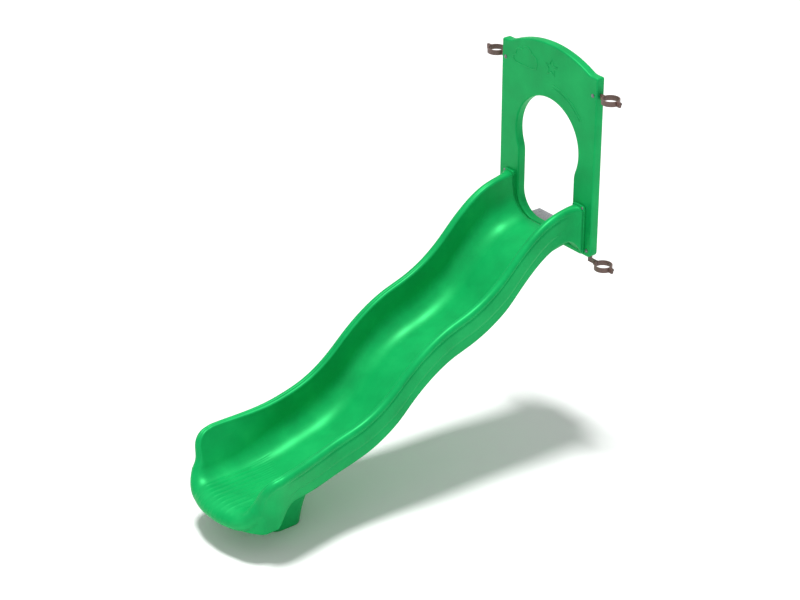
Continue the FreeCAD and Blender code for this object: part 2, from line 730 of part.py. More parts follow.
def entry_panel():
    body = new_body("panel_solid")
    outline = new_sketch(body, "panel_outline", "XZ_Plane")
    draw_outline(outline, *panel_outline())
    pad(body, "panel_pad", outline, "sizes.panel_thickness", both_ways=True)
    opening = new_sketch(body, "panel_opening", "XZ_Plane")
    draw_outline(opening, *opening_outline())
    pocket(body, "panel_opening_cut", opening, "sizes.panel_thickness * 2")
    opened = body.Tip
    rims = [
        f"Edge{number}"
        for number, edge in enumerate(opened.Shape.Edges, start=1)
        if abs(edge.BoundBox.YMax - edge.BoundBox.YMin) < 1e-6
    ]
    rounding = body.newObject("PartDesign::Fillet", "panel_rounding")
    rounding.Base = (opened, rims)
    rounding.setExpression("Radius", "sizes.panel_edge_round")
    doc.recompute()
    slot_face = 0.5 * (size("clamp_gap") - size("slot_slack"))
    slots = new_sketch(body, "tongue_slots", "XZ_Plane", Placement(Vector(0, 0, -slot_face), Rotation()))
    for low, high in slot_boxes(0.0):
        draw_box(slots, low, high)
    pocket(body, "tongue_slot_cut", slots, "sizes.ear_thickness + sizes.slot_slack", both_ways=False)
    holes = new_sketch(body, "panel_holes", "XZ_Plane")
    draw_circles(holes, [(str(x), str(z)) for x, z in panel_hole_places()], "sizes.bolt_hole_radius")
    pocket(body, "panel_hole_cut", holes, "sizes.panel_thickness * 2")
    inside = Placement(Vector(0, 0, -0.5 * panel_front), Rotation())
    vents = new_sketch(body, "panel_vents", "XZ_Plane", inside)
    draw_circles(vents, [(str(x), str(z)) for x, z in vent_places()], "sizes.plug_radius + 0.1")
    pocket(body, "panel_vent_cut", vents, "sizes.panel_thickness", both_ways=False)
    return cut("entry_panel", body, panel_core())


# --------------------------------------------------------------------------------------------
# Post clamps
# --------------------------------------------------------------------------------------------

def clamp_half(label, side, height, front):
    """Half a clamp. Drawn round the Z axis with its outer ear towards +X, then turned to its post."""
    inside = size("post_radius") + size("clamp_clearance")
    outside = inside + size("clamp_wall")
    gap, ear, reach = 0.5 * size("clamp_gap"), size("ear_thickness"), size("ear_reach")
    flip = side if front else -side
    away = -1 if flip > 0 else 1
    inner_angle = math.degrees(math.asin(gap / inside))
    outer_angle = math.degrees(math.asin((gap + ear) / outside))
    inner_x = inside * math.cos(math.radians(inner_angle))
    outer_x = outside * math.cos(math.radians(outer_angle))
    body = new_body(label)
    ring = new_sketch(body, f"{label}_ring", "XY_Plane")
    draw_outline(ring, (inner_x, away * gap), [
        line(reach, away * gap),
        line(reach, away * (gap + ear)),
        line(outer_x, away * (gap + ear)),
        arc((0, 0), outside, away * outer_angle, away * (180 - outer_angle)),
        line(-reach, away * (gap + ear)),
        line(-reach, away * gap),
        line(-inner_x, away * gap),
        arc((0, 0), inside, away * (180 - inner_angle), away * inner_angle),
    ])
    pad(body, f"{label}_band", ring, "sizes.clamp_band", both_ways=True)
    if not front:
        add_tongue(body, label, side, height)
    holes = new_sketch(body, f"{label}_holes", "XZ_Plane")
    places = [("sizes.ear_bolt_reach", "0"), ("-sizes.ear_bolt_reach", "0")]
    draw_circles(holes, places, "sizes.bolt_hole_radius")
    pocket(body, f"{label}_hole_cut", holes, "sizes.post_spacing")
    centre = Vector(side * 0.5 * size("post_spacing"), 0, height)
    body.Placement = Placement(centre, Rotation(Vector(0, 0, 1), 0 if side > 0 else 180))
    return body


def add_tongue(body, label, side, height):
    """The rear half's tongue, which reaches into the panel's slot and is held by a panel bolt."""
    gap, band = 0.5 * size("clamp_gap"), 0.5 * size("clamp_band")
    bolt = size("panel_bolt_x") - 0.5 * size("post_spacing")
    half = size("tongue_half")
    tip = bolt - half
    root = size("tongue_lap") - size("ear_reach")
    upper = height > size("deck_height")
    lift = 0.0 if upper else size("lower_panel_bolt") - height
    # The body is turned half a turn on the left, so the plate starts from the other face there.
    near_face = -gap if side > 0 else gap
    plate = new_sketch(body, f"{label}_plate", "XZ_Plane", Placement(Vector(0, 0, near_face), Rotation()))
    if upper:
        draw_box(plate, (tip, -band), (root, band))
    else:
        draw_outline(plate, (root, -band), [
            line(root, band), line(bolt + half, band), line(bolt + half, lift + half),
            line(tip, lift + half), line(tip, -band), line(root, -band),
        ])
    tongue = body.newObject("PartDesign::Pad", f"{label}_tongue")
    tongue.Profile = plate
    tongue.setExpression("Length", "sizes.ear_thickness")
    tongue.Reversed = side > 0
    doc.recompute()
    hole = new_sketch(body, f"{label}_eye", "XZ_Plane")
    draw_circles(hole, [(str(bolt), str(lift))], "sizes.bolt_hole_radius")
    pocket(body, f"{label}_eye_cut", hole, "sizes.post_spacing")


# --------------------------------------------------------------------------------------------
# Fasteners
# --------------------------------------------------------------------------------------------

UP = (0, 0, 1)
FORWARD = (0, 1, 0)  # from the slide's side through the panel, towards the deck
BOLT_BEYOND = 2.0    # a bolt's thread past its nut
BOLT_TIP_GAP = 2.0   # an anchor bolt's tip to the end of its insert


def button_bolt(name, seat, axis, length):
    """A button-head bolt: its head's flat face sits at seat and its shank runs along axis."""
    direction = Vector(*axis)
    head_top = Vector(*seat) - direction * size("head_height")
    head = primitive(
        "Cone", f"{name}_head", tuple(head_top), axis,
        Radius1="sizes.head_top_radius", Radius2="sizes.head_radius", Height="sizes.head_height",
    )
    shank = primitive("Cylinder", f"{name}_shank", tuple(seat), axis, Radius="sizes.bolt_radius")
    shank.Height = length
    return fuse(name, [head, shank])


def rod(name, seat, axis, radius, height):
    """A cylinder that starts at seat and runs along axis."""
    return primitive("Cylinder", name, seat, axis, Radius=radius, Height=height)


def washer(name, seat, axis):
    disc = rod(f"{name}_disc", seat, axis, "sizes.washer_radius", "sizes.washer_thickness")
    bore = rod(f"{name}_bore", seat, axis, "sizes.bolt_hole_radius", "sizes.washer_thickness")
    return cut(name, disc, bore)


def nut(name, seat, axis):
    block = primitive(
        "Prism", f"{name}_block", seat, axis, Circumradius="sizes.nut_radius", Height="sizes.nut_height",
    )
    block.Polygon = 6
    bore = rod(f"{name}_bore", seat, axis, "sizes.nut_bore", "sizes.nut_height")
    return cut(name, block, bore)


def along(seat, axis, length):
    """The point at a length along an axis."""
    return tuple(Vector(*seat) + Vector(*axis) * length)


def bolt_sets(stem, seats, axis, grip, with_head_washer=False):
    """Bolts, washers and nuts that clamp a grip, one stack for each seat."""
    thickness = size("washer_thickness")
    bolts, washers, nuts = [], [], []
    for index, seat in enumerate(seats):
        head_seat = along(seat, axis, -thickness) if with_head_washer else seat
        far = along(seat, axis, grip)
        nut_seat = along(far, axis, thickness)
        length = grip + thickness + size("nut_height") + BOLT_BEYOND
        if with_head_washer:
            length += thickness
        bolts.append(button_bolt(f"{stem}_bolt{index}", head_seat, axis, length))
        if with_head_washer:
            washers.append(washer(f"{stem}_head_washer{index}", head_seat, axis))
        washers.append(washer(f"{stem}_washer{index}", far, axis))
        nuts.append(nut(f"{stem}_nut{index}", nut_seat, axis))
    return bolts, washers, nuts


def fastener_nodes(stem, bolts, washers, nuts):
    nodes = {f"{stem}_bolts": bolts, f"{stem}_washers": washers, f"{stem}_nuts": nuts}
    return [group(name, items) for name, items in nodes.items()]


# --------------------------------------------------------------------------------------------
# Plates, bracket, pedestal and ground anchor
# --------------------------------------------------------------------------------------------

def backing_plate(label, side):
    """The strip behind the panel that spreads the load of the side flange bolts."""
    body = new_body(label)
    half, margin = 0.5 * size("backing_width"), size("backing_margin")
    centre = side * size("flange_bolt_x")
    low, high = size("flange_bolt_low") - margin, size("flange_bolt_high") + margin
    strip = new_sketch(body, f"{label}_strip", "XZ_Plane", Placement(Vector(0, 0, -panel_front), Rotation()))
    draw_rounded_box(strip, (centre - half, low), (centre + half, high), size("backing_corner"))
    plate = pad(body, f"{label}_plate", strip, "sizes.backing_thickness")
    plate.Reversed = True
    doc.recompute()
    holes = new_sketch(body, f"{label}_holes", "XZ_Plane")
    places = [(str(x), str(z)) for x, z in flange_bolt_places()[0] if x * side > 0]
    draw_circles(holes, places, "sizes.bolt_hole_radius")
    pocket(body, f"{label}_hole_cut", holes, "sizes.panel_thickness * 4")
    return body


def deck_bracket():
    """An angle behind the panel: the base bolts hold its upright leg, the deck sits on the other."""
    body = new_body("deck_bracket")
    thick, reach = size("bracket_thickness"), size("bracket_depth")
    top = size("deck_height") - size("deck_frame_depth")
    drop = size("bracket_drop")
    profile = new_sketch(body, "bracket_profile", "YZ_Plane")
    bend = size("bracket_bend")
    draw_outline(profile, (panel_front, top - drop), [
        line(panel_front + thick, top - drop),
        line(panel_front + thick, top - thick - bend),
        arc((panel_front + thick + bend, top - thick - bend), bend, 180, 90),
        line(panel_front + reach, top - thick),
        line(panel_front + reach, top),
        line(panel_front, top),
        line(panel_front, top - drop),
    ])
    pad(body, "bracket_width", profile, "sizes.bracket_half_width * 2", both_ways=True)
    base_holes = new_sketch(body, "bracket_base_holes", "XZ_Plane")
    places = [(f"{sign}sizes.flange_bolt_base_x", "sizes.flange_bolt_base") for sign in ("", "-")]
    draw_circles(base_holes, places, "sizes.bolt_hole_radius")
    pocket(body, "bracket_base_cut", base_holes, "sizes.panel_thickness * 2")
    deck_holes = new_sketch(body, "bracket_deck_holes", "XY_Plane")
    places = [(f"{sign}sizes.deck_bolt_x", "sizes.deck_bolt_y") for sign in ("", "-")]
    draw_circles(deck_holes, places, "sizes.bolt_hole_radius")
    pocket(body, "bracket_deck_cut", deck_holes, "sizes.deck_height * 3")
    return body


def pedestal_section(body, name, level, inset):
    """A rounded rectangle of the pedestal at a level, drawn in by an inset."""
    part = level / size("pedestal_top")
    front = mix(size("pedestal_front"), size("pedestal_top_front"), part) - inset
    back = mix(size("pedestal_back"), size("pedestal_top_back"), part) + inset
    half = mix(size("pedestal_half_width"), size("pedestal_top_half"), part) - inset
    sketch = new_sketch(body, name, "XY_Plane", Placement(Vector(0, 0, level), Rotation()))
    draw_rounded_box(sketch, (-half, -front), (half, -back), size("pedestal_corner") - inset)
    return sketch


def exit_pedestal():
    body = new_body("pedestal_solid")
    top, wall, seat = size("pedestal_top"), size("pedestal_wall"), size("seat_height")
    outer = body.newObject("PartDesign::AdditiveLoft", "pedestal_outer")
    outer.Profile = pedestal_section(body, "pedestal_foot", 0.0, 0.0)
    outer.Sections = [pedestal_section(body, "pedestal_head", top, 0.0)]
    doc.recompute()
    inner = body.newObject("PartDesign::SubtractiveLoft", "pedestal_inner")
    inner.Profile = pedestal_section(body, "pedestal_hollow_foot", 0.0, wall)
    inner.Sections = [pedestal_section(body, "pedestal_hollow_head", top, wall)]
    doc.recompute()
    floor = pedestal_section(body, "pedestal_floor", seat, 0.5 * wall)
    web = body.newObject("PartDesign::Pad", "pedestal_web")
    web.Profile = floor
    web.setExpression("Length", "sizes.pedestal_wall")
    web.Reversed = True
    doc.recompute()
    holes = new_sketch(body, "pedestal_holes", "XY_Plane")
    draw_circles(holes, [(str(x), str(y)) for x, y in anchor_places()], "sizes.bolt_hole_radius")
    pocket(body, "pedestal_hole_cut", holes, "sizes.pedestal_top * 3")
    saddle = chute_loft("saddle_tool", envelope_wire)
    saddle.Placement = Placement(Vector(0, 0, -size("saddle_gap")), Rotation())
    return cut("exit_pedestal", body, saddle)


def ground_anchor():
    """A welded frame: the top plate under the pedestal's floor, two pipe legs and a crossbar."""
    under_floor = size("seat_height") - size("pedestal_wall")
    bottom = under_floor - size("anchor_plate")
    half, margin = size("anchor_plate_half"), size("anchor_plate_margin")
    front, back = size("anchor_bolt_front") + margin, size("anchor_bolt_back") - margin
    body = new_body("anchor_top_plate")
    at_bottom = Placement(Vector(0, 0, bottom), Rotation())
    sketch = new_sketch(body, "anchor_plate_outline", "XY_Plane", at_bottom)
    draw_rounded_box(sketch, (-half, -front), (half, -back), size("anchor_plate_corner"))
    pad(body, "anchor_plate_pad", sketch, "sizes.anchor_plate")
    holes = new_sketch(body, "anchor_plate_holes", "XY_Plane")
    draw_circles(holes, [(str(x), str(y)) for x, y in anchor_places()], "sizes.bolt_hole_radius")
    pocket(body, "anchor_plate_hole_cut", holes, "sizes.pedestal_top * 3")
    middle = -0.5 * (size("anchor_bolt_front") + size("anchor_bolt_back"))
    legs, bores = [], []
    for name, side in (("left", -1), ("right", 1)):
        foot = (side * size("leg_x"), middle, -size("leg_depth"))
        leg = primitive("Cylinder", f"anchor_leg_{name}", foot, Radius="sizes.leg_radius")
        bore = primitive("Cylinder", f"anchor_bore_{name}", foot, Radius="sizes.leg_radius - sizes.leg_wall")
        leg.Height = bore.Height = size("leg_depth") + bottom
        legs.append(leg)
        bores.append(bore)
    pipes = cut("anchor_pipes", fuse("anchor_legs", legs), fuse("anchor_bores", bores))
    bar_end = (-size("crossbar_half"), middle, -size("crossbar_depth"))
    crossbar = rod("anchor_crossbar", bar_end, (1, 0, 0), "sizes.crossbar_radius", "sizes.crossbar_half * 2")
    return fuse("ground_anchor", [body, pipes, crossbar]), middle


def leg_caps(middle):
    """Plastic caps in the open lower ends of the anchor's legs."""
    caps = []
    for name, side in (("left", -1), ("right", 1)):
        foot = (side * size("leg_x"), middle, -size("leg_depth"))
        below = along(foot, UP, -size("cap_height"))
        disc = rod(f"cap_disc_{name}", below, UP, "sizes.leg_radius", "sizes.cap_height")
        stem_radius = "sizes.leg_radius - sizes.leg_wall - sizes.cap_play"
        stem = rod(f"cap_stem_{name}", foot, UP, stem_radius, "sizes.cap_height * 4")
        caps.append(fuse(f"cap_{name}", [disc, stem]))
    return group("anchor_leg_caps", caps)


def anchor_fixings():
    """Bolts from below through the anchor's plate and the pedestal's floor into the chute's inserts."""
    plate_bottom = size("seat_height") - size("pedestal_wall") - size("anchor_plate")
    bolts, washers, inserts = [], [], []
    for index, (x, y) in enumerate(anchor_places()):
        head_seat = (x, y, plate_bottom - size("washer_thickness"))
        length = size("seat_height") + size("insert_height") - BOLT_TIP_GAP - head_seat[2]
        bolts.append(button_bolt(f"anchor_bolt{index}", head_seat, UP, length))
        washers.append(washer(f"anchor_washer{index}", head_seat, UP))
        seat = (x, y, size("seat_height"))
        sleeve = rod(f"insert_sleeve{index}", seat, UP, "sizes.insert_radius", "sizes.insert_height")
        thread = rod(f"insert_thread{index}", seat, UP, "sizes.nut_bore", "sizes.insert_height")
        inserts.append(cut(f"insert{index}", sleeve, thread))
    nodes = {"anchor_bolts": bolts, "anchor_washers": washers, "threaded_inserts": inserts}
    return [group(name, items) for name, items in nodes.items()]


def vent_plugs():
    """Push-in plugs that close the panel's mould vents."""
    plugs = []
    for index, (x, z) in enumerate(vent_places()):
        seat = (x, panel_front, z)
        stem_end = along(seat, FORWARD, -size("plug_stem"))
        head = rod(f"plug_head{index}", seat, FORWARD, "sizes.plug_head", "sizes.plug_head_height")
        stem = rod(f"plug_stem{index}", stem_end, FORWARD, "sizes.plug_radius", "sizes.plug_stem")
        plugs.append(fuse(f"plug{index}", [head, stem]))
    return group("vent_plugs", plugs)


# --------------------------------------------------------------------------------------------
# Assembly
# --------------------------------------------------------------------------------------------

nodes = [wave_chute(), entry_panel(), exit_pedestal()]
for level, height in (("upper", size("upper_clamp_height")), ("lower", size("lower_clamp_height"))):
    for name, side in (("left", -1), ("right", 1)):
        nodes.append(clamp_half(f"{level}_{name}_clamp_front", side, height, front=True))
        nodes.append(clamp_half(f"{level}_{name}_clamp_rear", side, height, front=False))

ear_face = 0.5 * size("clamp_gap") + size("ear_thickness")
clamp_seats = [
    (side * 0.5 * size("post_spacing") + way * size("ear_bolt_reach"), -ear_face, height)
    for side in (-1, 1)
    for height in (size("upper_clamp_height"), size("lower_clamp_height"))
    for way in (-1, 1)
]
nodes += fastener_nodes("clamp", *bolt_sets("clamp", clamp_seats, FORWARD, 2 * ear_face))

panel_seats = [(x, -panel_front, z) for x, z in panel_corner_places()]
panel_sets = bolt_sets("panel", panel_seats, FORWARD, 2 * panel_front, with_head_washer=True)
nodes += fastener_nodes("panel", *panel_sets)

side_places, base_places = flange_bolt_places()
side_seats = [(x, -flange_front, z) for x, z in side_places]
base_seats = [(x, -flange_front, z) for x, z in base_places]
side_grip = flange_front + panel_front + size("backing_thickness")
base_grip = flange_front + panel_front + size("bracket_thickness")
side_sets = bolt_sets("flange_side", side_seats, FORWARD, side_grip)
base_sets = bolt_sets("flange_base", base_seats, FORWARD, base_grip)
nodes += fastener_nodes("flange", *(first + second for first, second in zip(side_sets, base_sets)))

nodes += [backing_plate("backing_plate_left", -1), backing_plate("backing_plate_right", 1), deck_bracket()]
anchor, leg_line = ground_anchor()
nodes += [anchor, leg_caps(leg_line)] + anchor_fixings() + [vent_plugs()]
doc.recompute()

# --------------------------------------------------------------------------------------------
# Checks and export
# --------------------------------------------------------------------------------------------

for item in doc.Objects:
    if "Invalid" in item.State or "Error" in item.State:
        raise RuntimeError(f"{item.Label} failed: {item.State}")
for node in nodes:
    if node.Shape.isNull() or not node.Shape.isValid():
        raise RuntimeError(f"{node.Label} has no valid shape")

os.makedirs("parts", exist_ok=True)
for node in nodes:
    node.Shape.exportStep(f"parts/{node.Label}.step")
print(f"{len(nodes)} nodes written")
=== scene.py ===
import json
import math

import bmesh
import bpy
import numpy as np
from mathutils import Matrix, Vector
from mathutils.bvhtree import BVHTree


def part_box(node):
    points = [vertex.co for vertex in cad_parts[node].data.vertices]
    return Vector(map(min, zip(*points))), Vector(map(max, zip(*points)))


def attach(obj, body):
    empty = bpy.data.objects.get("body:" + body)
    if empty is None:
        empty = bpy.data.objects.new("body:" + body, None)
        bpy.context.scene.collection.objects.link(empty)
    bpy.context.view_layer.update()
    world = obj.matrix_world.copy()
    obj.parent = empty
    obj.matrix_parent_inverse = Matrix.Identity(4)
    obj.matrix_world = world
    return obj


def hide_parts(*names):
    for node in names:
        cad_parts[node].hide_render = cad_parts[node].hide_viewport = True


# The wave slide's looks: the moulded chute, panel and pedestal as fine meshes round the CAD
# frame, and a procedural finish for every piece. Metres, +Z up, the slide runs down to -Y.
# A distance is measured along the ground from the posts, so a point's Y is minus its distance.

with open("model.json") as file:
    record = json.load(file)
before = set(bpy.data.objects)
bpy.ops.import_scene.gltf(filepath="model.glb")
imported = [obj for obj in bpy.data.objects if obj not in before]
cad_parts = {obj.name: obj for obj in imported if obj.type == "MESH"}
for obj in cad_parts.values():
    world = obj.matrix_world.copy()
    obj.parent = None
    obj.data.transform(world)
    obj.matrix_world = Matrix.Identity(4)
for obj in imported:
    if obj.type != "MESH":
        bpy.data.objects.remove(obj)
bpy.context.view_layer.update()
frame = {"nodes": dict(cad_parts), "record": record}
MM = 0.001
TINY = 1e-6


# --------------------------------------------------------------------------------------------
# Small helpers
# --------------------------------------------------------------------------------------------

def mix(first, second, part):
    """first when part is 0, second when it is 1, and a straight blend between."""
    return first + (second - first) * part


def ease(value, start, end):
    """0 before start, 1 after end and a smooth step between."""
    part = np.clip((value - start) / (end - start), 0.0, 1.0)
    return part * part * (3.0 - 2.0 * part)


def bump(value, centre, width):
    """A soft bump of height 1 that has died out a few widths from its centre."""
    return np.exp(-(((value - centre) / width) ** 2))


def softened(values, reach):
    """The values under a moving average that is weighted to the middle, reach samples wide."""
    offsets = np.arange(-3 * reach, 3 * reach + 1)
    weights = np.exp(-0.5 * (offsets / reach) ** 2)
    padded = np.pad(values, 3 * reach, mode="reflect", reflect_type="odd")
    return np.convolve(padded, weights / weights.sum(), mode="valid")


def unit(vector):
    """The vector's direction, with a length of 1."""
    return vector / np.linalg.norm(vector)


def arc_points(centre, radius, start, end, steps):
    """Points along an arc from one angle to another, in degrees."""
    turns = np.radians(np.linspace(start, end, steps))
    return [(centre[0] + radius * math.cos(turn), centre[1] + radius * math.sin(turn)) for turn in turns]


def with_left_half(right):
    """A closed outline from its right half, which starts or ends on the centre line."""
    return right + [(-x, z) for x, z in reversed(right) if x > TINY]


class Probe:
    """Measures a CAD node with straight rays."""

    def __init__(self, node):
        mesh = frame["nodes"][node].data
        corners = [vertex.co for vertex in mesh.vertices]
        self.tree = BVHTree.FromPolygons(corners, [face.vertices for face in mesh.polygons])

    def meet(self, start, direction):
        """The first point where a ray meets the node, or None."""
        return self.tree.ray_cast(Vector(start), Vector(direction))[0]


# --------------------------------------------------------------------------------------------
# The chute's lines, measured from the CAD chute
# --------------------------------------------------------------------------------------------

panel_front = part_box("entry_panel")[0].y
chute_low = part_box("wave_chute")[0]
ENTRY = -panel_front + 16 * MM   # just in front of the flange's face
MEASURED_TO = 2.04
SAMPLE = 4 * MM
ABOVE, BELOW, BESIDE = 3.0, -1.0, 1.0   # where the rays start, clear of the chute
UP, DOWN = (0, 0, 1), (0, 0, -1)
INWARDS, OUTWARDS = (-1, 0, 0), (1, 0, 0)
RIM_BAND = np.linspace(0.25, 0.34, 19)  # the rim's crest lies somewhere across this band
UNDER_WALL = 0.262                      # a line under the hollow of the side wall
BELOW_RIM = 30 * MM                     # the walls' half widths are measured this far below the rim,
ABOVE_HEM = 30 * MM                     # this far above the lower edge
ABOVE_BED = 115 * MM                    # and, for the inner wall's foot, this far above the bed
REACHES = {"rim": 4, "bed": 4, "outer": 3, "inner": 3, "foot": 4, "low": 3, "skirt": 4}


def measured_lines():
    """Heights and half widths of the chute at each sampled distance."""
    chute = Probe("wave_chute")
    lines = {name: [] for name in REACHES}
    places = np.arange(ENTRY, MEASURED_TO, SAMPLE)
    for distance in places:
        tops = [chute.meet((x, -distance, ABOVE), DOWN) for x in RIM_BAND]
        rim = max(top.z for top in tops if top)
        bed = chute.meet((0, -distance, ABOVE), DOWN).z
        low = chute.meet((UNDER_WALL, -distance, BELOW), UP).z
        lines["rim"].append(rim)
        lines["bed"].append(bed)
        lines["low"].append(low)
        lines["outer"].append(chute.meet((BESIDE, -distance, rim - BELOW_RIM), INWARDS).x)
        lines["skirt"].append(chute.meet((BESIDE, -distance, low + ABOVE_HEM), INWARDS).x)
        lines["inner"].append(chute.meet((0, -distance, rim - BELOW_RIM), OUTWARDS).x)
        lines["foot"].append(chute.meet((0, -distance, bed + ABOVE_BED), OUTWARDS).x)
    return places, {name: softened(np.array(lines[name]), reach) for name, reach in REACHES.items()}


PLACES, LINES = measured_lines()


def line_at(name, distance):
    """The value of one of the chute's lines at a distance."""
    return float(np.interp(distance, PLACES, LINES[name]))


# --------------------------------------------------------------------------------------------
# The chute's shell: bed, walls, rolled edge, lip and underside as one closed skin
# --------------------------------------------------------------------------------------------

RIGHT, AHEAD = np.array([1.0, 0.0, 0.0]), np.array([0.0, -1.0, 0.0])
CORNER = 135 * MM           # radius between bed and wall along the run
EXIT_CORNER = 105 * MM      # and at the exit
EXIT_CORNER_FADE = (1.7, 2.0)  # distances between which the one turns into the other
ROLL_HEIGHT = 24 * MM       # rise of the rolled rim
ROLL_CURL = 180.0           # degrees that the rim turns through
BED_SKIN = 12 * MM
FAN_CENTRE = 1.96           # the rows of the mesh fan out round the exit from here
HORN_FRONT = 2.142          # front edge of the side walls
HORN_CORNER = 86 * MM       # corner radius of the line where the roll begins
LIP_FRONT = -chute_low.y
LIP_REACH = 88 * MM         # forward radius of the lip's roll,
LIP_DROP = 58 * MM          # its upright radius
LIP_CURL = 150.0            # and the degrees that it turns through
RELIEF_FADES, RELIEF_ENDS = 1.93, 2.0  # the outer wall's grooves die out between these distances


def section_parts(distance):
    """Centre and radius of the corner, lean of the wall, and lengths of bed, corner and wall."""
    bed, inner = line_at("bed", distance), line_at("inner", distance)
    foot = line_at("foot", distance) + 2 * MM
    corner = mix(CORNER, EXIT_CORNER, float(ease(distance, *EXIT_CORNER_FADE)))
    wall_top = line_at("rim", distance) - ROLL_HEIGHT
    lean = math.atan((inner - foot) / (wall_top - bed - corner))
    wall = (wall_top - bed - corner * (1.0 - math.sin(lean))) / math.cos(lean)
    centre = inner - corner * math.cos(lean) - wall * math.sin(lean)
    return centre, corner, lean, (centre, corner * (0.5 * math.pi - lean), wall)


EXIT_LENGTHS = section_parts(MEASURED_TO)[3]
SHEET_WIDTH = sum(EXIT_LENGTHS)


def sheet_point(across, distance):
    """A point of the inside, its tangent away from the centre line and its normal to the outside.

    across runs from 0 on the centre line to SHEET_WIDTH where the roll begins, in the exit
    section's lengths; other sections stretch the bed, the corner and the wall.
    """
    centre, corner, lean, lengths = section_parts(distance)
    bed = line_at("bed", distance)
    exit_flat, exit_turn, exit_wall = EXIT_LENGTHS
    if across <= exit_flat:
        x, z, angle = centre * across / exit_flat, bed, 0.0
    elif across <= exit_flat + exit_turn:
        angle = (0.5 * math.pi - lean) * (across - exit_flat) / exit_turn
        x = centre + corner * math.sin(angle)
        z = bed + corner * (1.0 - math.cos(angle))
    else:
        angle = 0.5 * math.pi - lean
        up_wall = lengths[2] * (across - exit_flat - exit_turn) / exit_wall
        x = centre + corner * math.sin(angle) + up_wall * math.cos(angle)
        z = bed + corner * (1.0 - math.cos(angle)) + up_wall * math.sin(angle)
    tangent = np.array([math.cos(angle), 0.0, math.sin(angle)])
    outside = np.array([math.sin(angle), 0.0, -math.cos(angle)])
    return np.array([x, -distance, z]), tangent, outside


RIB_PITCH = 36 * MM
RIBS_EACH_SIDE = 4
RIB_HALF_WIDTH = 9 * MM
RIB_HEIGHT = 3.8 * MM
FAINT_SHARE = 0.3               # height of the ribs' ends and of the fine ribs between them
RIB_START = 1.90                # where the middle rib starts
RIB_START_SLANT = 0.30          # how much earlier the others start, for each metre off the middle
RIB_TIPS = LIP_FRONT - 36 * MM  # where the middle rib ends
RIB_TIP_CURVE = 1.1             # how the other tips draw back, times the square of their place across


def ridge(x, pitch_shift, half_width):
    """A row of rounded ridges side by side across the bed, 0 to 1 high."""
    steps = round(x / RIB_PITCH - pitch_shift)
    steps = min(max(steps, -RIBS_EACH_SIDE), RIBS_EACH_SIDE)
    away = abs(x - (steps + pitch_shift) * RIB_PITCH)
    return math.cos(0.5 * math.pi * away / half_width) ** 2 if away < half_width else 0.0


def rise_and_fall(value, start, full, fading, end):
    """0 before start, 1 from full to fading, and 0 again after end."""
    return float(ease(value, start, full) * (1.0 - ease(value, fading, end)))


def rib_height(x, distance):
    """How far the run-out stands up in lengthwise ribs at a place."""
    start = RIB_START - RIB_START_SLANT * x
    tip = RIB_TIPS - RIB_TIP_CURVE * x * x
    main = rise_and_fall(distance, start, start + 90 * MM, tip - 80 * MM, tip)
    fine = rise_and_fall(distance, start - 110 * MM, start - 50 * MM, start + 20 * MM, start + 100 * MM)
    flutes = float(ease(distance, tip - 20 * MM, tip + 10 * MM))
    height = (main + FAINT_SHARE * (fine + flutes)) * ridge(x, 0.0, RIB_HALF_WIDTH)
    return RIB_HEIGHT * (height + FAINT_SHARE * fine * ridge(x, 0.5, 0.6 * RIB_HALF_WIDTH))


COLUMNS = np.concatenate([
    np.linspace(0.0, EXIT_LENGTHS[0], 50, endpoint=False),
    EXIT_LENGTHS[0] + np.linspace(0.0, EXIT_LENGTHS[1], 52, endpoint=False),
    EXIT_LENGTHS[0] + EXIT_LENGTHS[1] + np.linspace(0.0, EXIT_LENGTHS[2], 14),
])
ROLL_STEPS = 30
WALL_STEPS = 40
HEM_STEPS = 8
UNDER_STEPS = 10
BEAD_AT, BEAD_WIDTH, BEAD_HEIGHT = 20.0, 13.0, 1.4 * MM         # the angles are degrees round the roll
GROOVE_AT, GROOVE_WIDTH, GROOVE_DEPTH = 54.0, 9.0, 3.64 * MM
HEM_RADIUS = 11 * MM
HEM_GROOVE, ROLL_GROOVE = 4.0 * MM, 4.5 * MM   # depths of the outer wall's two long grooves
ROLL_GROOVE_AT, HEM_GROOVE_AT, LONG_GROOVE_WIDTH = 20 * MM, 50 * MM, 9 * MM
HEM_BAND = 3.0 * MM                            # how far the band over the hem is set in,
HEM_BAND_EDGE = (34 * MM, 48 * MM)             # and where its upper edge slopes, above the hem
WALL_BOW = 2.5 * MM                            # how far the outer wall bows out
FLUTES_FADE = (70.0, 120.0)     # degrees round the lip between which its flutes die out
RELIEF_FULL_FROM = 0.2          # the bead and the grooves fade in from the flange to this distance
FLANGE_CREASE = 0.35            # their share on the rim near the flange,
CREASE_DEEPENS = (0.5, 1.1)     # and the distances between which it grows to the whole


def roll_points(base, forward, outside, reach, drop, curl, crease):
    """The rolled edge that starts at base, heads forward and turns to the outside.

    crease is 1 for the rim's bead and groove, and 0 for the lip's flutes.
    """
    points = []
    for step in range(1, ROLL_STEPS + 1):
        degrees = curl * step / ROLL_STEPS
        turn = math.radians(degrees)
        normal = unit(forward * math.sin(turn) * drop - outside * math.cos(turn) * reach)
        point = base + forward * reach * math.sin(turn) + outside * drop * (1.0 - math.cos(turn))
        bead = BEAD_HEIGHT * bump(degrees, BEAD_AT, BEAD_WIDTH)
        bead -= GROOVE_DEPTH * bump(degrees, GROOVE_AT, GROOVE_WIDTH)
        flute = rib_height(point[0], -point[1]) * float(1.0 - ease(degrees, *FLUTES_FADE))
        points.append(point + normal * mix(flute, bead, crease))
    turn = math.radians(curl)
    return points, unit(forward * math.cos(turn) * reach + outside * math.sin(turn) * drop)


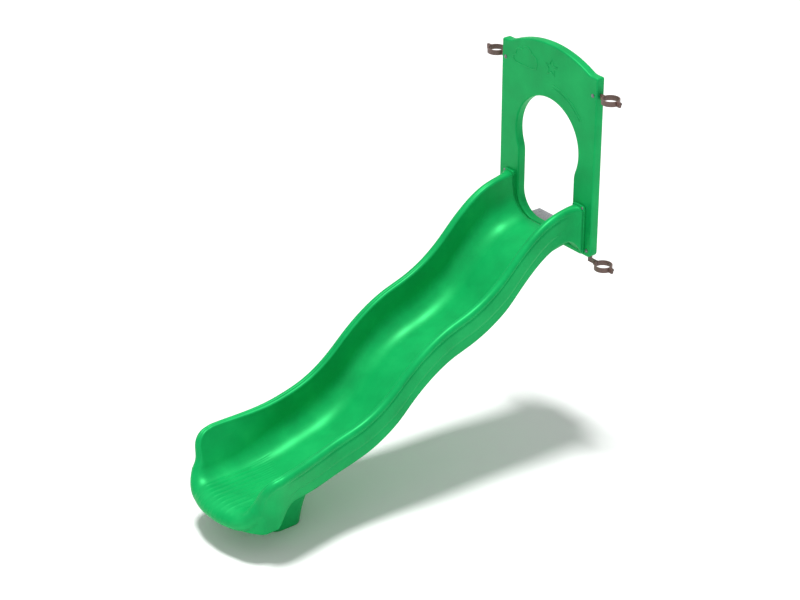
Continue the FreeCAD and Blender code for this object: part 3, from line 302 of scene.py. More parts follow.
def wall_points(start, heading, end, outside, relief):
    """The outer wall from the roll's end to the hem, with its grooves and its set-in lower band."""
    span = np.linalg.norm(end - start)
    down = (end - start) / max(span, TINY)
    heading = heading * min(span, 60 * MM)
    points = []
    for step in range(1, WALL_STEPS + 1):
        part = step / WALL_STEPS
        leave = part * (1.0 - part) ** 2
        arrive = part * part * (3.0 - 2.0 * part) - (part * part * (1.0 - part))
        point = start + heading * leave + (end - start) * arrive
        from_roll, to_hem = span * part, span * (1.0 - part)
        inset = ROLL_GROOVE * bump(from_roll, ROLL_GROOVE_AT, LONG_GROOVE_WIDTH)
        inset += HEM_GROOVE * bump(to_hem, HEM_GROOVE_AT, LONG_GROOVE_WIDTH)
        inset += HEM_BAND * float(1.0 - ease(to_hem, *HEM_BAND_EDGE))
        inset -= WALL_BOW * math.sin(math.pi * part)
        points.append(point - outside * inset * relief)
    return points, down


def under_points(hem, down, outside, ledge, centre):
    """The hem turned in, the underside of the hollow wall, and the bed's underside to the centre."""
    middle = hem - outside * HEM_RADIUS
    points = []
    for step in range(1, HEM_STEPS + 1):
        turn = math.pi * step / HEM_STEPS
        points.append(middle + HEM_RADIUS * (outside * math.cos(turn) + down * math.sin(turn)))
    last = points[-1]
    below, top = np.array([ledge[0], ledge[1], last[2]]), np.array([ledge[0], ledge[1], centre[2]])
    for step in range(1, UNDER_STEPS + 1):
        part = step / UNDER_STEPS
        points.append(last * (1 - part) ** 3 + below * 3 * part * (1 - part) ** 2
                      + mix(below, top, 0.75) * 3 * part**2 * (1 - part) + top * part**3)
    for step in range(1, UNDER_STEPS + 1):
        points.append(mix(top, centre, step / UNDER_STEPS))
    return points


def inside_points(points_at):
    """The inside of a row with the ribs raised on it; points_at gives each column's place."""
    row = []
    for column in COLUMNS:
        point, _, outside = sheet_point(*points_at(column))
        row.append(point - outside * rib_height(point[0], -point[1]))
    return row


def run_row(distance):
    """A row straight across the right half of the run, round its whole section."""
    row = inside_points(lambda column: (column, distance))
    base, forward, outside = sheet_point(SHEET_WIDTH, distance)
    half_roll = 0.5 * (line_at("outer", distance) - line_at("inner", distance))
    open_run = float(ease(distance, ENTRY, RELIEF_FULL_FROM))
    crease = mix(FLANGE_CREASE, 1.0, float(ease(distance, *CREASE_DEEPENS))) * open_run
    roll, heading = roll_points(base, forward, outside, ROLL_HEIGHT, half_roll, ROLL_CURL, crease)
    low = line_at("low", distance)
    hem = np.array([line_at("skirt", distance), -distance, low + HEM_RADIUS])
    relief = open_run * float(1.0 - ease(distance, RELIEF_FADES, RELIEF_ENDS))
    wall, down = wall_points(roll[-1], heading, hem, outside, relief)
    ledge = (line_at("foot", distance) - 4 * MM, -distance)
    centre = np.array([0.0, -distance, line_at("bed", distance) - BED_SKIN])
    return row + roll + wall + under_points(wall[-1], down, RIGHT, ledge, centre)


LIP_TO_HORN = (0.03, 0.30)  # across the sheet, where the exit's edge runs from the lip to the horn
ON_HORN = (0.14, 0.35)      # where the lip's curl turns into the rim's roll,
ON_SKIRT = (0.12, 0.27)     # and where the outer wall grows between the roll and the hem


def edge_line():
    """Where the roll begins round the exit, on the flattened inside, from the rim to the lip's middle."""
    front, lip = HORN_FRONT - ROLL_HEIGHT, LIP_FRONT - LIP_REACH
    high, centre = SHEET_WIDTH - HORN_CORNER, front - HORN_CORNER
    line = [(SHEET_WIDTH, distance) for distance in np.arange(FAN_CENTRE, centre, 4 * MM)]
    for turn in np.radians(np.linspace(0.0, 90.0, 26)):
        line.append((high + HORN_CORNER * math.cos(turn), centre + HORN_CORNER * math.sin(turn)))
    for across in np.arange(high - 3 * MM, 0.0, -3 * MM):
        line.append((across, mix(lip, front, float(ease(across, *LIP_TO_HORN)))))
    line.append((0.0, lip))
    line = np.array(line)
    ends = line[0].copy(), line[-1].copy()
    line = np.stack([softened(line[:, 0], 3), softened(line[:, 1], 3)], axis=1)
    line[0], line[-1] = ends
    return line


HEM_MEETS_LIP = 0.22    # across the sheet, where the skirt's hem has run into the lip's curl
HEM_FRONT = 2.10        # distance of the hem's front end
LIP_END = line_at("bed", MEASURED_TO) - LIP_DROP * (1.0 - math.cos(math.radians(LIP_CURL)))


def fan_row(place, slope, along):
    """A row from the bed's middle out to a place on the edge line, round the roll and back underneath.

    slope is the edge line's direction there, and along is 1 once the skirt's hem has reached its front.
    """
    across, distance = place
    row = inside_points(
        lambda column: (across * column / SHEET_WIDTH, mix(FAN_CENTRE, distance, column / SHEET_WIDTH))
    )
    on_horn = float(ease(across, *ON_HORN))
    on_skirt = float(ease(across, *ON_SKIRT))
    base, tangent, outside = sheet_point(across, distance)
    forward = unit(tangent * slope[1] - AHEAD * slope[0])
    half_roll = 0.5 * (line_at("outer", distance) - line_at("inner", distance))
    roll, heading = roll_points(
        base, forward, outside,
        reach=mix(LIP_REACH, ROLL_HEIGHT, on_horn), drop=mix(LIP_DROP, half_roll, on_horn),
        curl=mix(LIP_CURL, ROLL_CURL, on_horn), crease=on_horn,
    )
    curled = roll[-1] + heading * 4 * MM
    curled[2] = min(curled[2], LIP_END)
    hem_distance = mix(FAN_CENTRE, HEM_FRONT, along)
    hem_height = line_at("low", hem_distance) + HEM_RADIUS
    skirt = np.array([line_at("skirt", hem_distance), -hem_distance, hem_height])
    hem = mix(curled, skirt, on_skirt)
    relief = on_skirt * float(1.0 - ease(hem_distance, RELIEF_FADES, RELIEF_ENDS))
    wall, down = wall_points(roll[-1], heading, hem, RIGHT, relief)
    away = unit(np.array([hem[0], hem[1] + FAN_CENTRE, 0.0]))
    hem_out = mix(away, RIGHT, on_skirt)
    hem_out = unit(hem_out - down * hem_out.dot(down))
    inward = wall[-1] - hem_out * 2 * HEM_RADIUS
    room = mix(12 * MM, 30 * MM, on_skirt)
    ledge = (inward[0] - away[0] * room, inward[1] - away[1] * room)
    centre = np.array([0.0, -FAN_CENTRE, line_at("bed", FAN_CENTRE) - BED_SKIN])
    return row + roll + wall + under_points(wall[-1], down, hem_out, ledge, centre)


def fan_rows():
    """Rows that turn round the exit, each a straight ray on the flattened inside."""
    line = edge_line()
    slopes = np.gradient(line, axis=0)
    slopes[-1] = (-1.0, 0.0)
    skirt_rows = int(np.sum(line[:, 0] > HEM_MEETS_LIP))
    return [
        fan_row(place, slope, along=min(number / skirt_rows, 1.0))
        for number, (place, slope) in enumerate(zip(line, slopes))
    ]


def mirrored_row(row):
    """The row on the other side of the centre line."""
    return [point * np.array([-1.0, 1.0, 1.0]) for point in row]


def mesh_piece(name, corners, faces, merge=TINY):
    """A smooth-shaded mesh object whose doubled corners are joined and whose faces point out."""
    mesh = bpy.data.meshes.new(name)
    mesh.from_pydata([tuple(corner) for corner in corners], [], faces)
    shape = bmesh.new()
    shape.from_mesh(mesh)
    bmesh.ops.remove_doubles(shape, verts=shape.verts, dist=merge)
    bmesh.ops.dissolve_degenerate(shape, edges=shape.edges, dist=merge)
    bmesh.ops.recalc_face_normals(shape, faces=shape.faces)
    shape.to_mesh(mesh)
    shape.free()
    mesh.polygons.foreach_set("use_smooth", [True] * len(mesh.polygons))
    piece = bpy.data.objects.new(name, mesh)
    bpy.context.scene.collection.objects.link(piece)
    return piece


def grid_faces(rows, columns, closed=False):
    """Quads between neighbouring rows; closed joins the last column to the first."""
    faces = []
    for row in range(rows - 1):
        for column in range(columns if closed else columns - 1):
            beside = (column + 1) % columns
            faces.append((row * columns + column, row * columns + beside,
                          (row + 1) * columns + beside, (row + 1) * columns + column))
    return faces


def face_towards(piece, place, direction):
    """Turns the piece's faces over if the one nearest a place points away from a direction."""
    nearest = min(piece.data.polygons, key=lambda face: (face.center - Vector(place)).length)
    if nearest.normal.dot(Vector(direction)) < 0:
        piece.data.flip_normals()


FINER_FROM = 1.74       # the rows lie closer together from here
ROW_STEP, FINE_ROW_STEP = 11 * MM, 6 * MM


def chute_shell():
    """The whole moulding: rows down the right side, round the exit and back up the left side."""
    wide_rows = np.arange(ENTRY, FINER_FROM, ROW_STEP)
    fine_rows = np.arange(FINER_FROM, FAN_CENTRE, FINE_ROW_STEP)
    right = [run_row(distance) for distance in np.concatenate([wide_rows, fine_rows])] + fan_rows()
    left = [mirrored_row(row) for row in reversed(right[:-1])]
    rows = right + left
    count = len(rows[0])
    first_row, last_row = tuple(range(count)), tuple(range((len(rows) - 1) * count, len(rows) * count))
    entry_end = first_row + last_row[::-1]
    faces = grid_faces(len(rows), count) + [entry_end]
    return mesh_piece("chute_shell", [point for row in rows for point in row], faces, merge=10 * TINY)


# --------------------------------------------------------------------------------------------
# The chute's entry flange
# --------------------------------------------------------------------------------------------

def capped_tube(name, rows):
    """A closed tube through rows of equal length, with flat ends."""
    count = len(rows[0])
    faces = grid_faces(len(rows), count, closed=True)
    faces.append(tuple(range(count)))
    faces.append(tuple(range((len(rows) - 1) * count, len(rows) * count)))
    return mesh_piece(name, [point for row in rows for point in row], faces)


def flange_outline():
    """The flange's outline: a plate with round corners, cut out along the chute's channel."""
    half, high = line_at("outer", ENTRY), line_at("rim", ENTRY)
    inner, channel = line_at("inner", ENTRY), line_at("bed", ENTRY) - BED_SKIN
    low = Probe("wave_chute").meet((0, -ENTRY + 8 * MM, BELOW), UP).z
    corner, tip = 22 * MM, 10 * MM
    right = [(0.0, low)]
    right += arc_points((half - corner, low + corner), corner, -90, 0, 9)
    right += arc_points((half - corner, high - corner), corner, 0, 90, 9)
    right += arc_points((inner + tip, high - tip), tip, 90, 180, 9)
    right += arc_points((inner - 7 * MM - CORNER, channel + CORNER), CORNER + 3 * MM, 0, -90, 14)
    right.append((0.0, channel - 3 * MM))
    return with_left_half(right), 0.5 * (low + high)


def chute_flange():
    """The plate that the chute is bolted to the panel by, with its edges rounded over."""
    outline, middle = flange_outline()
    back = panel_front - 0.3 * MM
    edge = ((0.0, 2.0), (0.6, 0.8), (2.0, 0.0), (12.0, 0.0), (14.5, 0.8), (15.6, 2.4))
    rows = []
    for depth, inset in edge:
        row = []
        for x, z in outline:
            inward_x = math.copysign(inset * MM, -x) if abs(x) > TINY else 0.0
            inward_z = math.copysign(inset * MM, middle - z)
            row.append(np.array([x + inward_x, back - depth * MM, z + inward_z]))
        rows.append(row)
    return capped_tube("chute_flange", rows)


# --------------------------------------------------------------------------------------------
# Entry panel and its raised decoration
# --------------------------------------------------------------------------------------------

panel_low, panel_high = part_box("entry_panel")
arch_height = panel_low.z + 555 * MM    # centre of the opening's arch


def panel_outline():
    """The panel's outline, anticlockwise: round lower corners, shoulders and a crown."""
    half, low, crown = panel_high.x, panel_low.z, panel_high.z
    shoulder = crown - 77 * MM
    corner, tip, radius, fillet = 30 * MM, 12 * MM, 700 * MM, 90 * MM
    centre = crown - radius
    rise = shoulder + fillet - centre
    reach = math.sqrt((radius + fillet) ** 2 - rise**2)
    angle = math.degrees(math.atan2(rise, reach))
    right = arc_points((half - corner, low + corner), corner, -90, 0, 10)
    right += arc_points((half - tip, shoulder - tip), tip, 0, 90, 8)
    right += arc_points((reach, shoulder + fillet), fillet, -90, angle - 180, 14)
    right += arc_points((0, centre), radius, angle, 90, 26)
    return with_left_half(right)


def opening_outline():
    """The arch with a waist, and round lower corners."""
    waist, low, corner = 222 * MM, panel_low.z + 55 * MM, 140 * MM
    radius, fillet = 250 * MM, 150 * MM
    fall = math.sqrt((radius + fillet) ** 2 - (waist + fillet) ** 2)
    angle = math.degrees(math.atan2(fall, waist + fillet))
    right = arc_points((waist - corner, low + corner), corner, -90, 0, 16)
    right += arc_points((waist + fillet, arch_height - fall), fillet, 180, 180 - angle, 10)
    right += arc_points((0, arch_height), radius, -angle, 90, 40)
    return with_left_half(right)


def curve_from(name, outlines, cyclic=True):
    """A flat curve through outlines, for curve_to_mesh to stand upright."""
    curve = bpy.data.curves.new(name, "CURVE")
    for outline in outlines:
        spline = curve.splines.new("POLY")
        spline.points.add(len(outline) - 1)
        for point, (x, z) in zip(spline.points, outline):
            point.co = (x, z, 0.0, 1.0)
        spline.use_cyclic_u = cyclic
    return curve


def curve_to_mesh(name, curve, depth):
    """The curve's solid as a mesh object, stood upright with its middle plane at a depth."""
    holder = bpy.data.objects.new(name + "_curve", curve)
    bpy.context.scene.collection.objects.link(holder)
    holder.rotation_euler = (math.radians(90), 0, 0)
    holder.location = (0, depth, 0)
    bpy.context.view_layer.update()
    solid = holder.evaluated_get(bpy.context.evaluated_depsgraph_get())
    mesh = bpy.data.meshes.new_from_object(solid)
    mesh.transform(holder.matrix_world)
    bpy.data.objects.remove(holder)
    piece = bpy.data.objects.new(name, mesh)
    bpy.context.scene.collection.objects.link(piece)
    return piece


def moulded_panel():
    """The panel's shell with generously rounded edges."""
    rounding = 9 * MM
    curve = curve_from("panel", [
        inset_outline(panel_outline(), rounding), inset_outline(opening_outline(), -rounding),
    ])
    curve.dimensions = "2D"
    curve.fill_mode = "BOTH"
    curve.extrude = 0.5 * (panel_high.y - panel_low.y) - rounding
    curve.bevel_depth = rounding
    curve.bevel_resolution = 5
    return curve_to_mesh("moulded_panel", curve, 0.5 * (panel_low.y + panel_high.y))


def inset_outline(outline, amount):
    """The outline moved inwards by an amount, or outwards if it's negative."""
    points = np.array(outline)
    before, after = np.roll(points, 1, axis=0), np.roll(points, -1, axis=0)
    along = after - before
    inward = np.stack([-along[:, 1], along[:, 0]], axis=1)
    inward /= np.linalg.norm(inward, axis=1)[:, None]
    return [tuple(point) for point in points + inward * amount]


# Places and radii of the cloud's puffs, in shares of the cloud's size.
PUFFS = [
    (-1.0, -0.25, 0.42),
    (-0.55, 0.3, 0.5),
    (0.15, 0.5, 0.6),
    (0.85, 0.15, 0.5),
    (1.1, -0.35, 0.35),
]
CLOUD_HALF_WIDTH, CLOUD_UNDERSIDE = 1.33, 0.45


def cloud_reach(ray):
    """How far the cloud reaches along a ray: to a puff above its middle, to a flat underside below."""
    if ray[1] < 0:
        return (abs(ray[0] / CLOUD_HALF_WIDTH) ** 4 + abs(ray[1] / CLOUD_UNDERSIDE) ** 4) ** -0.25
    reaches = []
    for x, z, radius in PUFFS:
        middle = np.array([x, z])
        along = ray @ middle
        inside = radius**2 - (middle @ middle - along**2)
        if inside > 0:
            reaches.append(along + math.sqrt(inside))
    return max(reaches)


def cloud_outline(centre, size):
    """A generic cloud of five puffs."""
    outline = []
    for turn in np.radians(np.arange(0.0, 360.0, 4.0)):
        ray = np.array([math.cos(turn), math.sin(turn)])
        outline.append(tuple(np.array(centre) + size * cloud_reach(ray) * ray))
    return outline


def star_outline(centre, size):
    """A plain five-pointed star."""
    outline = []
    for number in range(10):
        radius = size if number % 2 == 0 else 0.45 * size
        turn = math.radians(90 + 36 * number)
        outline.append((centre[0] + radius * math.cos(turn), centre[1] + radius * math.sin(turn)))
    return outline


def raised_line(name, outlines, cyclic, width):
    """Half-round beads along outlines on the panel's front face."""
    curve = curve_from(name, outlines, cyclic)
    curve.dimensions = "3D"
    curve.bevel_depth = width
    curve.bevel_resolution = 3
    curve.use_fill_caps = True
    return curve_to_mesh(name, curve, panel_low.y + 0.35 * width)


def panel_decoration():
    """Shallow raised decoration over the arch: a cloud, a star and two sweeping lines."""
    level = panel_high.z - 150 * MM
    cloud = cloud_outline((-190 * MM, level), 72 * MM)
    star = star_outline((22 * MM, level + 22 * MM), 48 * MM)
    sweeps = [arc_points((0.0, arch_height), radius, 38, 84, 24) for radius in (322 * MM, 340 * MM)]
    return [
        raised_line("panel_cloud_and_star", [cloud, star], True, 4 * MM),
        raised_line("panel_swept_lines", sweeps, False, 3.5 * MM),
    ]


# --------------------------------------------------------------------------------------------
# Exit pedestal
# --------------------------------------------------------------------------------------------

FOOT_FRONT, FOOT_BACK, FOOT_HALF, FOOT_CORNER = 1.960, 1.762, 132 * MM, 58 * MM
HEAD_FRONT, HEAD_BACK, HEAD_HALF, HEAD_CORNER = 2.012, 1.662, 212 * MM, 78 * MM
HEAD_LEVEL = 300 * MM
FLARE_POWER, FLARE_SHARE = 2.4, 0.65    # most of the flare comes near the head
PEDESTAL_WALL = 8 * MM
FLOOR_LOW, FLOOR_HIGH = 206.5 * MM, 213.5 * MM


def pedestal_row(level, grow, per_corner=10):
    """A rounded rectangle of the pedestal, wider towards its head; grow widens it all round."""
    part = level / HEAD_LEVEL
    bow = mix(part, part**FLARE_POWER, FLARE_SHARE)
    front, back = mix(FOOT_FRONT, HEAD_FRONT, bow) + grow, mix(FOOT_BACK, HEAD_BACK, bow) - grow
    half = mix(FOOT_HALF, HEAD_HALF, bow) + grow
    corner = mix(FOOT_CORNER, HEAD_CORNER, part) + grow
    centres = [
        (half - corner, -front + corner),
        (half - corner, -back - corner),
        (-half + corner, -back - corner),
        (-half + corner, -front + corner),
    ]
    row = []
    for centre, start in zip(centres, (-90, 0, 90, 180)):
        for x, y in arc_points(centre, corner, start, start + 90, per_corner):
            row.append(np.array([x, y, level]))
    return row


def moulded_pedestal():
    """The hollow pedestal, stretched so that its top edge follows the chute's underside."""
    top = line_at("bed", FOOT_FRONT) - BED_SKIN
    base = [pedestal_row(0.5 * MM, -3 * MM), pedestal_row(1.5 * MM, -1.2 * MM), pedestal_row(4 * MM, 0.0)]
    body = [pedestal_row(level, 0.0) for level in np.linspace(12 * MM, top, 26)]
    for point in (point for row in body for point in row):
        under_chute = line_at("bed", -point[1]) - BED_SKIN + 3 * MM
        point[2] *= mix(1.0, under_chute / top, float(ease(point[2], 0.0, top)))
    rows = base + body
    corners = [point for row in rows for point in row]
    piece = mesh_piece("moulded_pedestal", corners, grid_faces(len(rows), len(rows[0]), closed=True))
    face_towards(piece, (0, -FOOT_FRONT, 0.1), (0, -1, 0))
    skin = piece.modifiers.new("skin", "SOLIDIFY")
    skin.thickness = PEDESTAL_WALL
    skin.offset = -1.0
    return piece


def pedestal_floor():
    """The inner floor that the anchor's plate is bolted up to."""
    inner, outer = -5 * MM, -3 * MM
    profile = ((FLOOR_LOW, inner), (FLOOR_LOW, outer), (FLOOR_HIGH, outer), (FLOOR_HIGH, inner))
    return capped_tube("pedestal_floor", [pedestal_row(level, grow) for level, grow in profile])


# --------------------------------------------------------------------------------------------
# Materials
# --------------------------------------------------------------------------------------------

def new_material(name):
    """A node material, with its nodes, its links and its shader."""
    material = bpy.data.materials.new(name)
    material.use_nodes = True
    nodes = material.node_tree.nodes
    return material, nodes, material.node_tree.links, nodes["Principled BSDF"]


def noise(nodes, links, where, scale, detail=3.0, roughness=0.55):
    """Noise between 0 and 1; scale is roughly how many patches fit in one unit of length."""
    texture = nodes.new("ShaderNodeTexNoise")
    texture.inputs["Scale"].default_value = scale
    texture.inputs["Detail"].default_value = detail
    texture.inputs["Roughness"].default_value = roughness
    links.new(where, texture.inputs["Vector"])
    return texture.outputs["Fac"]


def ramp(nodes, links, value, stops):
    """A colour ramp; stops are (position, colour)."""
    node = nodes.new("ShaderNodeValToRGB")
    elements = node.color_ramp.elements
    while len(elements) < len(stops):
        elements.new(0.5)
    for element, (position, colour) in zip(elements, stops):
        element.position = position
        element.color = tuple(colour) + (1.0,)
    links.new(value, node.inputs["Fac"])
    return node.outputs["Color"]


def remap(nodes, links, value, low, high, from_low=0.0, from_high=1.0):
    """The value carried from one range to another, and kept inside it."""
    node = nodes.new("ShaderNodeMapRange")
    node.inputs["From Min"].default_value = from_low
    node.inputs["From Max"].default_value = from_high
    node.inputs["To Min"].default_value = low
    node.inputs["To Max"].default_value = high
    links.new(value, node.inputs["Value"])
    return node.outputs["Result"]


def blend_colours(nodes, links, factor, first, second, mode="MIX"):
    """A mix of two colours, each a tuple or a node's output; factor is a number or an output."""
    node = nodes.new("ShaderNodeMix")
    node.data_type = "RGBA"
    node.blend_type = mode
    for socket, colour in ((node.inputs[6], first), (node.inputs[7], second)):
        if isinstance(colour, tuple):
            socket.default_value = colour + (1.0,)
        else:
            links.new(colour, socket)
    if isinstance(factor, float):
        node.inputs["Factor"].default_value = factor
    else:
        links.new(factor, node.inputs["Factor"])
    return node.outputs[2]


def add_bump(nodes, links, shader, heights):
    """Bump from several height fields; heights are (value, strength, distance)."""
    normal = None
    for value, strength, distance in heights:
        node = nodes.new("ShaderNodeBump")
        node.inputs["Strength"].default_value = strength
        node.inputs["Distance"].default_value = distance
        links.new(value, node.inputs["Height"])
        if normal is not None:
            links.new(normal, node.inputs["Normal"])
        normal = node.outputs["Normal"]
    links.new(normal, shader.inputs["Normal"])


def stretched(nodes, links, where, scale):
    """Places scaled by a different amount along each axis, which draws noise out into lines."""
    mapping = nodes.new("ShaderNodeMapping")
    mapping.inputs["Scale"].default_value = scale
    links.new(where, mapping.inputs["Vector"])
    return mapping.outputs["Vector"]


def moulded_plastic(name, colour, streaks):
    """Rotomoulded polyethylene: satin, faintly mottled, with a fine grain and light scuffs."""
    material, nodes, links, shader = new_material(name)
    where = nodes.new("ShaderNodeTexCoord").outputs["Object"]
    mottle = noise(nodes, links, where, 6.0, 4.0)
    speckle = noise(nodes, links, where, 900.0, 2.0)
    dark = tuple(0.86 * part for part in colour)
    light = tuple(min(1.0, 1.10 * part + 0.004) for part in colour)
    base = ramp(nodes, links, mottle, [(0.3, dark), (0.55, colour), (0.75, light)])
    grain = ramp(nodes, links, speckle, [(0.35, (0.90, 0.90, 0.90)), (0.65, (1.0, 1.0, 1.0))])
    base = blend_colours(nodes, links, 0.6, base, grain, "MULTIPLY")
    edges = nodes.new("ShaderNodeNewGeometry").outputs["Pointiness"]
    worn = remap(nodes, links, edges, 0.0, 0.07, 0.52, 0.60)
    scuffed = tuple(mix(part, 0.8, 0.16) for part in colour)
    base = blend_colours(nodes, links, worn, base, scuffed)
    lines = noise(nodes, links, stretched(nodes, links, where, streaks), 1.0, 6.0, 0.65)
    rubbed = remap(nodes, links, lines, 0.0, 0.04, 0.55, 0.75)
    base = blend_colours(nodes, links, rubbed, base, scuffed)
    links.new(base, shader.inputs["Base Color"])
    shader.inputs["IOR"].default_value = 1.50
    shader.inputs["Specular IOR Level"].default_value = 0.12
    shader.inputs["Metallic"].default_value = 0.17   # a sheen in the plastic's own colour
    rough = nodes.new("ShaderNodeMath")
    rough.operation = "ADD"
    links.new(remap(nodes, links, mottle, 0.36, 0.46), rough.inputs[0])
    links.new(remap(nodes, links, lines, -0.03, 0.05), rough.inputs[1])
    links.new(rough.outputs["Value"], shader.inputs["Roughness"])
    peel = noise(nodes, links, where, 260.0, 2.0)
    wave = noise(nodes, links, where, 14.0, 1.0)
    heights = [(wave, 0.12, 2 * MM), (peel, 0.12, 0.3 * MM), (lines, 0.05, 0.3 * MM)]
    add_bump(nodes, links, shader, heights)
    return material


BARE_STEEL = (0.30, 0.24, 0.21)


def powder_coat(name, colour):
    """Powder-coated steel: even colour, orange peel and bare metal showing faintly at the edges.

    The small black caps are given the same finish in their own colour.
    """
    material, nodes, links, shader = new_material(name)
    where = nodes.new("ShaderNodeTexCoord").outputs["Object"]
    mottle = noise(nodes, links, where, 40.0, 4.0)
    dark = tuple(0.8 * part for part in colour)
    light = tuple(1.18 * part for part in colour)
    base = ramp(nodes, links, mottle, [(0.3, dark), (0.7, light)])
    edges = nodes.new("ShaderNodeNewGeometry").outputs["Pointiness"]
    chips = noise(nodes, links, where, 160.0, 4.0)
    worn = remap(nodes, links, edges, 0.0, 0.5, 0.53, 0.62)
    chipped = nodes.new("ShaderNodeMath")
    chipped.operation = "MULTIPLY"
    links.new(worn, chipped.inputs[0])
    links.new(chips, chipped.inputs[1])
    base = blend_colours(nodes, links, chipped.outputs["Value"], base, BARE_STEEL)
    links.new(base, shader.inputs["Base Color"])
    links.new(remap(nodes, links, chips, 0.38, 0.55), shader.inputs["Roughness"])
    peel = noise(nodes, links, where, 700.0, 1.0)
    add_bump(nodes, links, shader, [(peel, 0.18, 0.15 * MM), (mottle, 0.1, 0.3 * MM)])
    return material


def plated_steel(name, dark, light, scale, rough):
    """Zinc on steel, with spangle at a scale, dull patches and fine scratches."""
    material, nodes, links, shader = new_material(name)
    where = nodes.new("ShaderNodeTexCoord").outputs["Object"]
    spangle = nodes.new("ShaderNodeTexVoronoi")
    spangle.inputs["Scale"].default_value = scale
    links.new(where, spangle.inputs["Vector"])
    base = ramp(nodes, links, spangle.outputs["Distance"], [(0.0, light), (0.8, dark)])
    dull = noise(nodes, links, where, 0.3 * scale, 5.0)
    base = blend_colours(nodes, links, remap(nodes, links, dull, 0.0, 0.6), base, dark)
    links.new(base, shader.inputs["Base Color"])
    shader.inputs["Metallic"].default_value = 0.9
    links.new(remap(nodes, links, dull, rough - 0.1, rough + 0.15), shader.inputs["Roughness"])
    scratches = noise(nodes, links, stretched(nodes, links, where, (900.0, 60.0, 900.0)), 1.0, 3.0)
    add_bump(nodes, links, shader, [(scratches, 0.1, 0.1 * MM), (dull, 0.08, 0.2 * MM)])
    return material


def turned_brass(name):
    """Brass with fine turning rings."""
    material, nodes, links, shader = new_material(name)
    where = nodes.new("ShaderNodeTexCoord").outputs["Object"]
    rings = noise(nodes, links, stretched(nodes, links, where, (40.0, 40.0, 2500.0)), 1.0, 2.0)
    base = ramp(nodes, links, rings, [(0.3, (0.42, 0.27, 0.08)), (0.7, (0.62, 0.43, 0.16))])
    links.new(base, shader.inputs["Base Color"])
    shader.inputs["Metallic"].default_value = 1.0
    links.new(remap(nodes, links, rings, 0.25, 0.45), shader.inputs["Roughness"])
    add_bump(nodes, links, shader, [(rings, 0.2, 0.1 * MM)])
    return material


GREEN = (0.004, 0.430, 0.108)
BROWN = (0.105, 0.040, 0.030)
BLACK = (0.018, 0.018, 0.018)
ALONG_RUN = (90.0, 5.0, 40.0)    # how scuffs are drawn out: along the slide
UPRIGHT = (60.0, 60.0, 6.0)      # or up and down
FINISHES = {
    "chute_plastic": moulded_plastic("chute_green", GREEN, ALONG_RUN),
    "panel_plastic": moulded_plastic("panel_green", GREEN, UPRIGHT),
    "pedestal_plastic": moulded_plastic("pedestal_green", GREEN, UPRIGHT),
    "clamp_paint": powder_coat("clamp_brown", BROWN),
    "zinc": plated_steel("zinc_plate", (0.17, 0.17, 0.18), (0.36, 0.36, 0.37), 500.0, 0.42),
    "galvanised": plated_steel("hot_dip_zinc", (0.30, 0.31, 0.32), (0.52, 0.54, 0.55), 120.0, 0.48),
    "brass": turned_brass("insert_brass"),
    "black_plastic": powder_coat("cap_black", BLACK),
}


def finish(piece, slot):
    """Gives a piece its procedural finish."""
    piece.data.materials.clear()
    piece.data.materials.append(FINISHES[slot])


# --------------------------------------------------------------------------------------------
# Assembly
# --------------------------------------------------------------------------------------------

def add_piece(piece, slot, node=None):
    """Hands a finished piece to the frame, in place of a CAD node if one is named."""
    finish(piece, slot)
    if node:
        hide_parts(node)
    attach(piece, "root")


add_piece(chute_shell(), "chute_plastic", "wave_chute")
add_piece(chute_flange(), "chute_plastic")
add_piece(moulded_panel(), "panel_plastic", "entry_panel")
for raised in panel_decoration():
    add_piece(raised, "panel_plastic")
add_piece(moulded_pedestal(), "pedestal_plastic", "exit_pedestal")
add_piece(pedestal_floor(), "pedestal_plastic")

for part in frame["record"]["subparts"]:
    finish(frame["nodes"][part["node"]], part["material_slot"])


# --------------------------------------------------------------------------------------------
# Studio and camera
# --------------------------------------------------------------------------------------------

SKY_STRENGTH = 0.50
KEY_STRENGTH, KEY_SPREAD = 3.0, 11.0    # watts per square metre, degrees
FILL_WATTS, FILL_SIZE = 60.0, 4.0
KEY_PLACE, FILL_PLACE = (-2.6, -1.2, 20.0), (5.0, -7.0, 4.0)
LIT_PLACE = (0.0, -1.1, 0.8)            # the slide's middle
CAMERA_PLACE, CAMERA_TARGET = (8.488, -7.627, 6.661), (0.0, -1.02, 1.02)
CAMERA_LENS, CAMERA_SENSOR = 104.0, 36.0    # millimetres
FLOOR_SIZE = 60


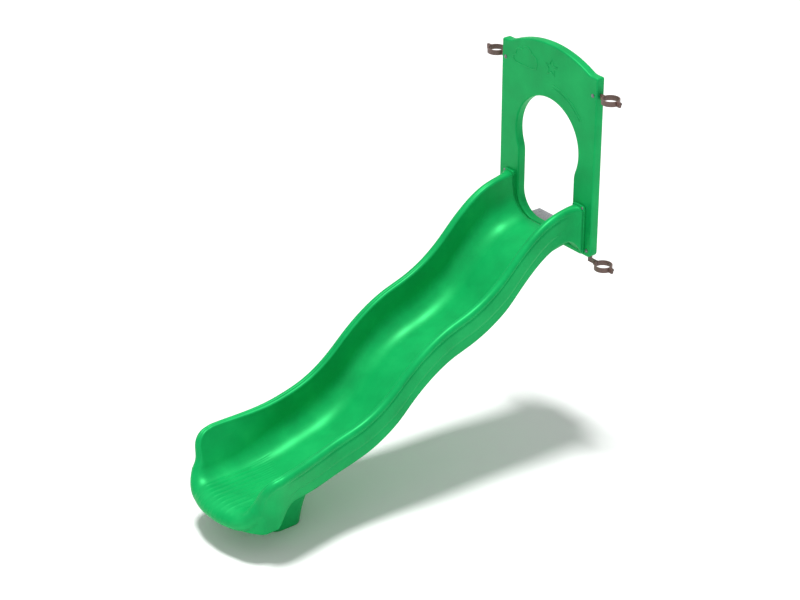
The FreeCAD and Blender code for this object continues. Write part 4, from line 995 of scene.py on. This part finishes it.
def studio_floor():
    """A pale floor with a trace of unevenness in its tone."""
    bpy.ops.mesh.primitive_plane_add(size=FLOOR_SIZE, location=(0, 0, 0))
    floor = bpy.context.object
    floor.name = "studio_floor"
    material, nodes, links, shader = new_material("pale_floor")
    where = nodes.new("ShaderNodeTexCoord").outputs["Object"]
    patches = noise(nodes, links, where, 0.8, 3.0)
    greys = [(0.3, (0.86, 0.86, 0.86)), (0.7, (0.90, 0.90, 0.90))]
    links.new(ramp(nodes, links, patches, greys), shader.inputs["Base Color"])
    shader.inputs["Roughness"].default_value = 0.9
    floor.data.materials.append(material)


def place_light(name, light, place, target):
    """Puts a light at a place and points it at a target."""
    lamp = bpy.data.objects.new(name, light)
    lamp.location = place
    lamp.rotation_mode = "QUATERNION"
    lamp.rotation_quaternion = (Vector(target) - Vector(place)).to_track_quat("-Z", "Y")
    bpy.context.scene.collection.objects.link(lamp)


def soft_sky_light(place, target):
    """A broad sun nearly overhead, so that shadows are soft and the floor is evenly lit."""
    light = bpy.data.lights.new("key", "SUN")
    light.angle = math.radians(KEY_SPREAD)
    light.energy = KEY_STRENGTH
    place_light("key", light, place, target)


def soft_front_light(place, target):
    """A large, weak lamp that lifts the shaded sides."""
    light = bpy.data.lights.new("fill", "AREA")
    light.shape = "DISK"
    light.size = FILL_SIZE
    light.energy = FILL_WATTS
    place_light("fill", light, place, target)


def pale_world():
    """Soft white light from all round, and a white backdrop for the camera."""
    world = bpy.data.worlds.new("pale_studio")
    world.use_nodes = True
    nodes, links = world.node_tree.nodes, world.node_tree.links
    background = nodes["Background"]
    background.inputs["Color"].default_value = (1.0, 1.0, 1.0, 1.0)
    seen = nodes.new("ShaderNodeLightPath").outputs["Is Camera Ray"]
    links.new(remap(nodes, links, seen, SKY_STRENGTH, 1.0), background.inputs["Strength"])
    bpy.context.scene.world = world


def photo_camera():
    """A camera that looks down the slide's right side from its foot."""
    camera = bpy.data.objects.new("camera", bpy.data.cameras.new("camera"))
    camera.data.sensor_width = CAMERA_SENSOR
    camera.data.lens = CAMERA_LENS
    camera.location = CAMERA_PLACE
    target = Vector(CAMERA_TARGET)
    camera.rotation_mode = "QUATERNION"
    camera.rotation_quaternion = (target - camera.location).to_track_quat("-Z", "Y")
    bpy.context.scene.collection.objects.link(camera)
    bpy.context.scene.camera = camera


studio_floor()
pale_world()
soft_sky_light(KEY_PLACE, LIT_PLACE)
soft_front_light(FILL_PLACE, LIT_PLACE)
photo_camera()
bpy.context.scene.view_settings.view_transform = "Standard"
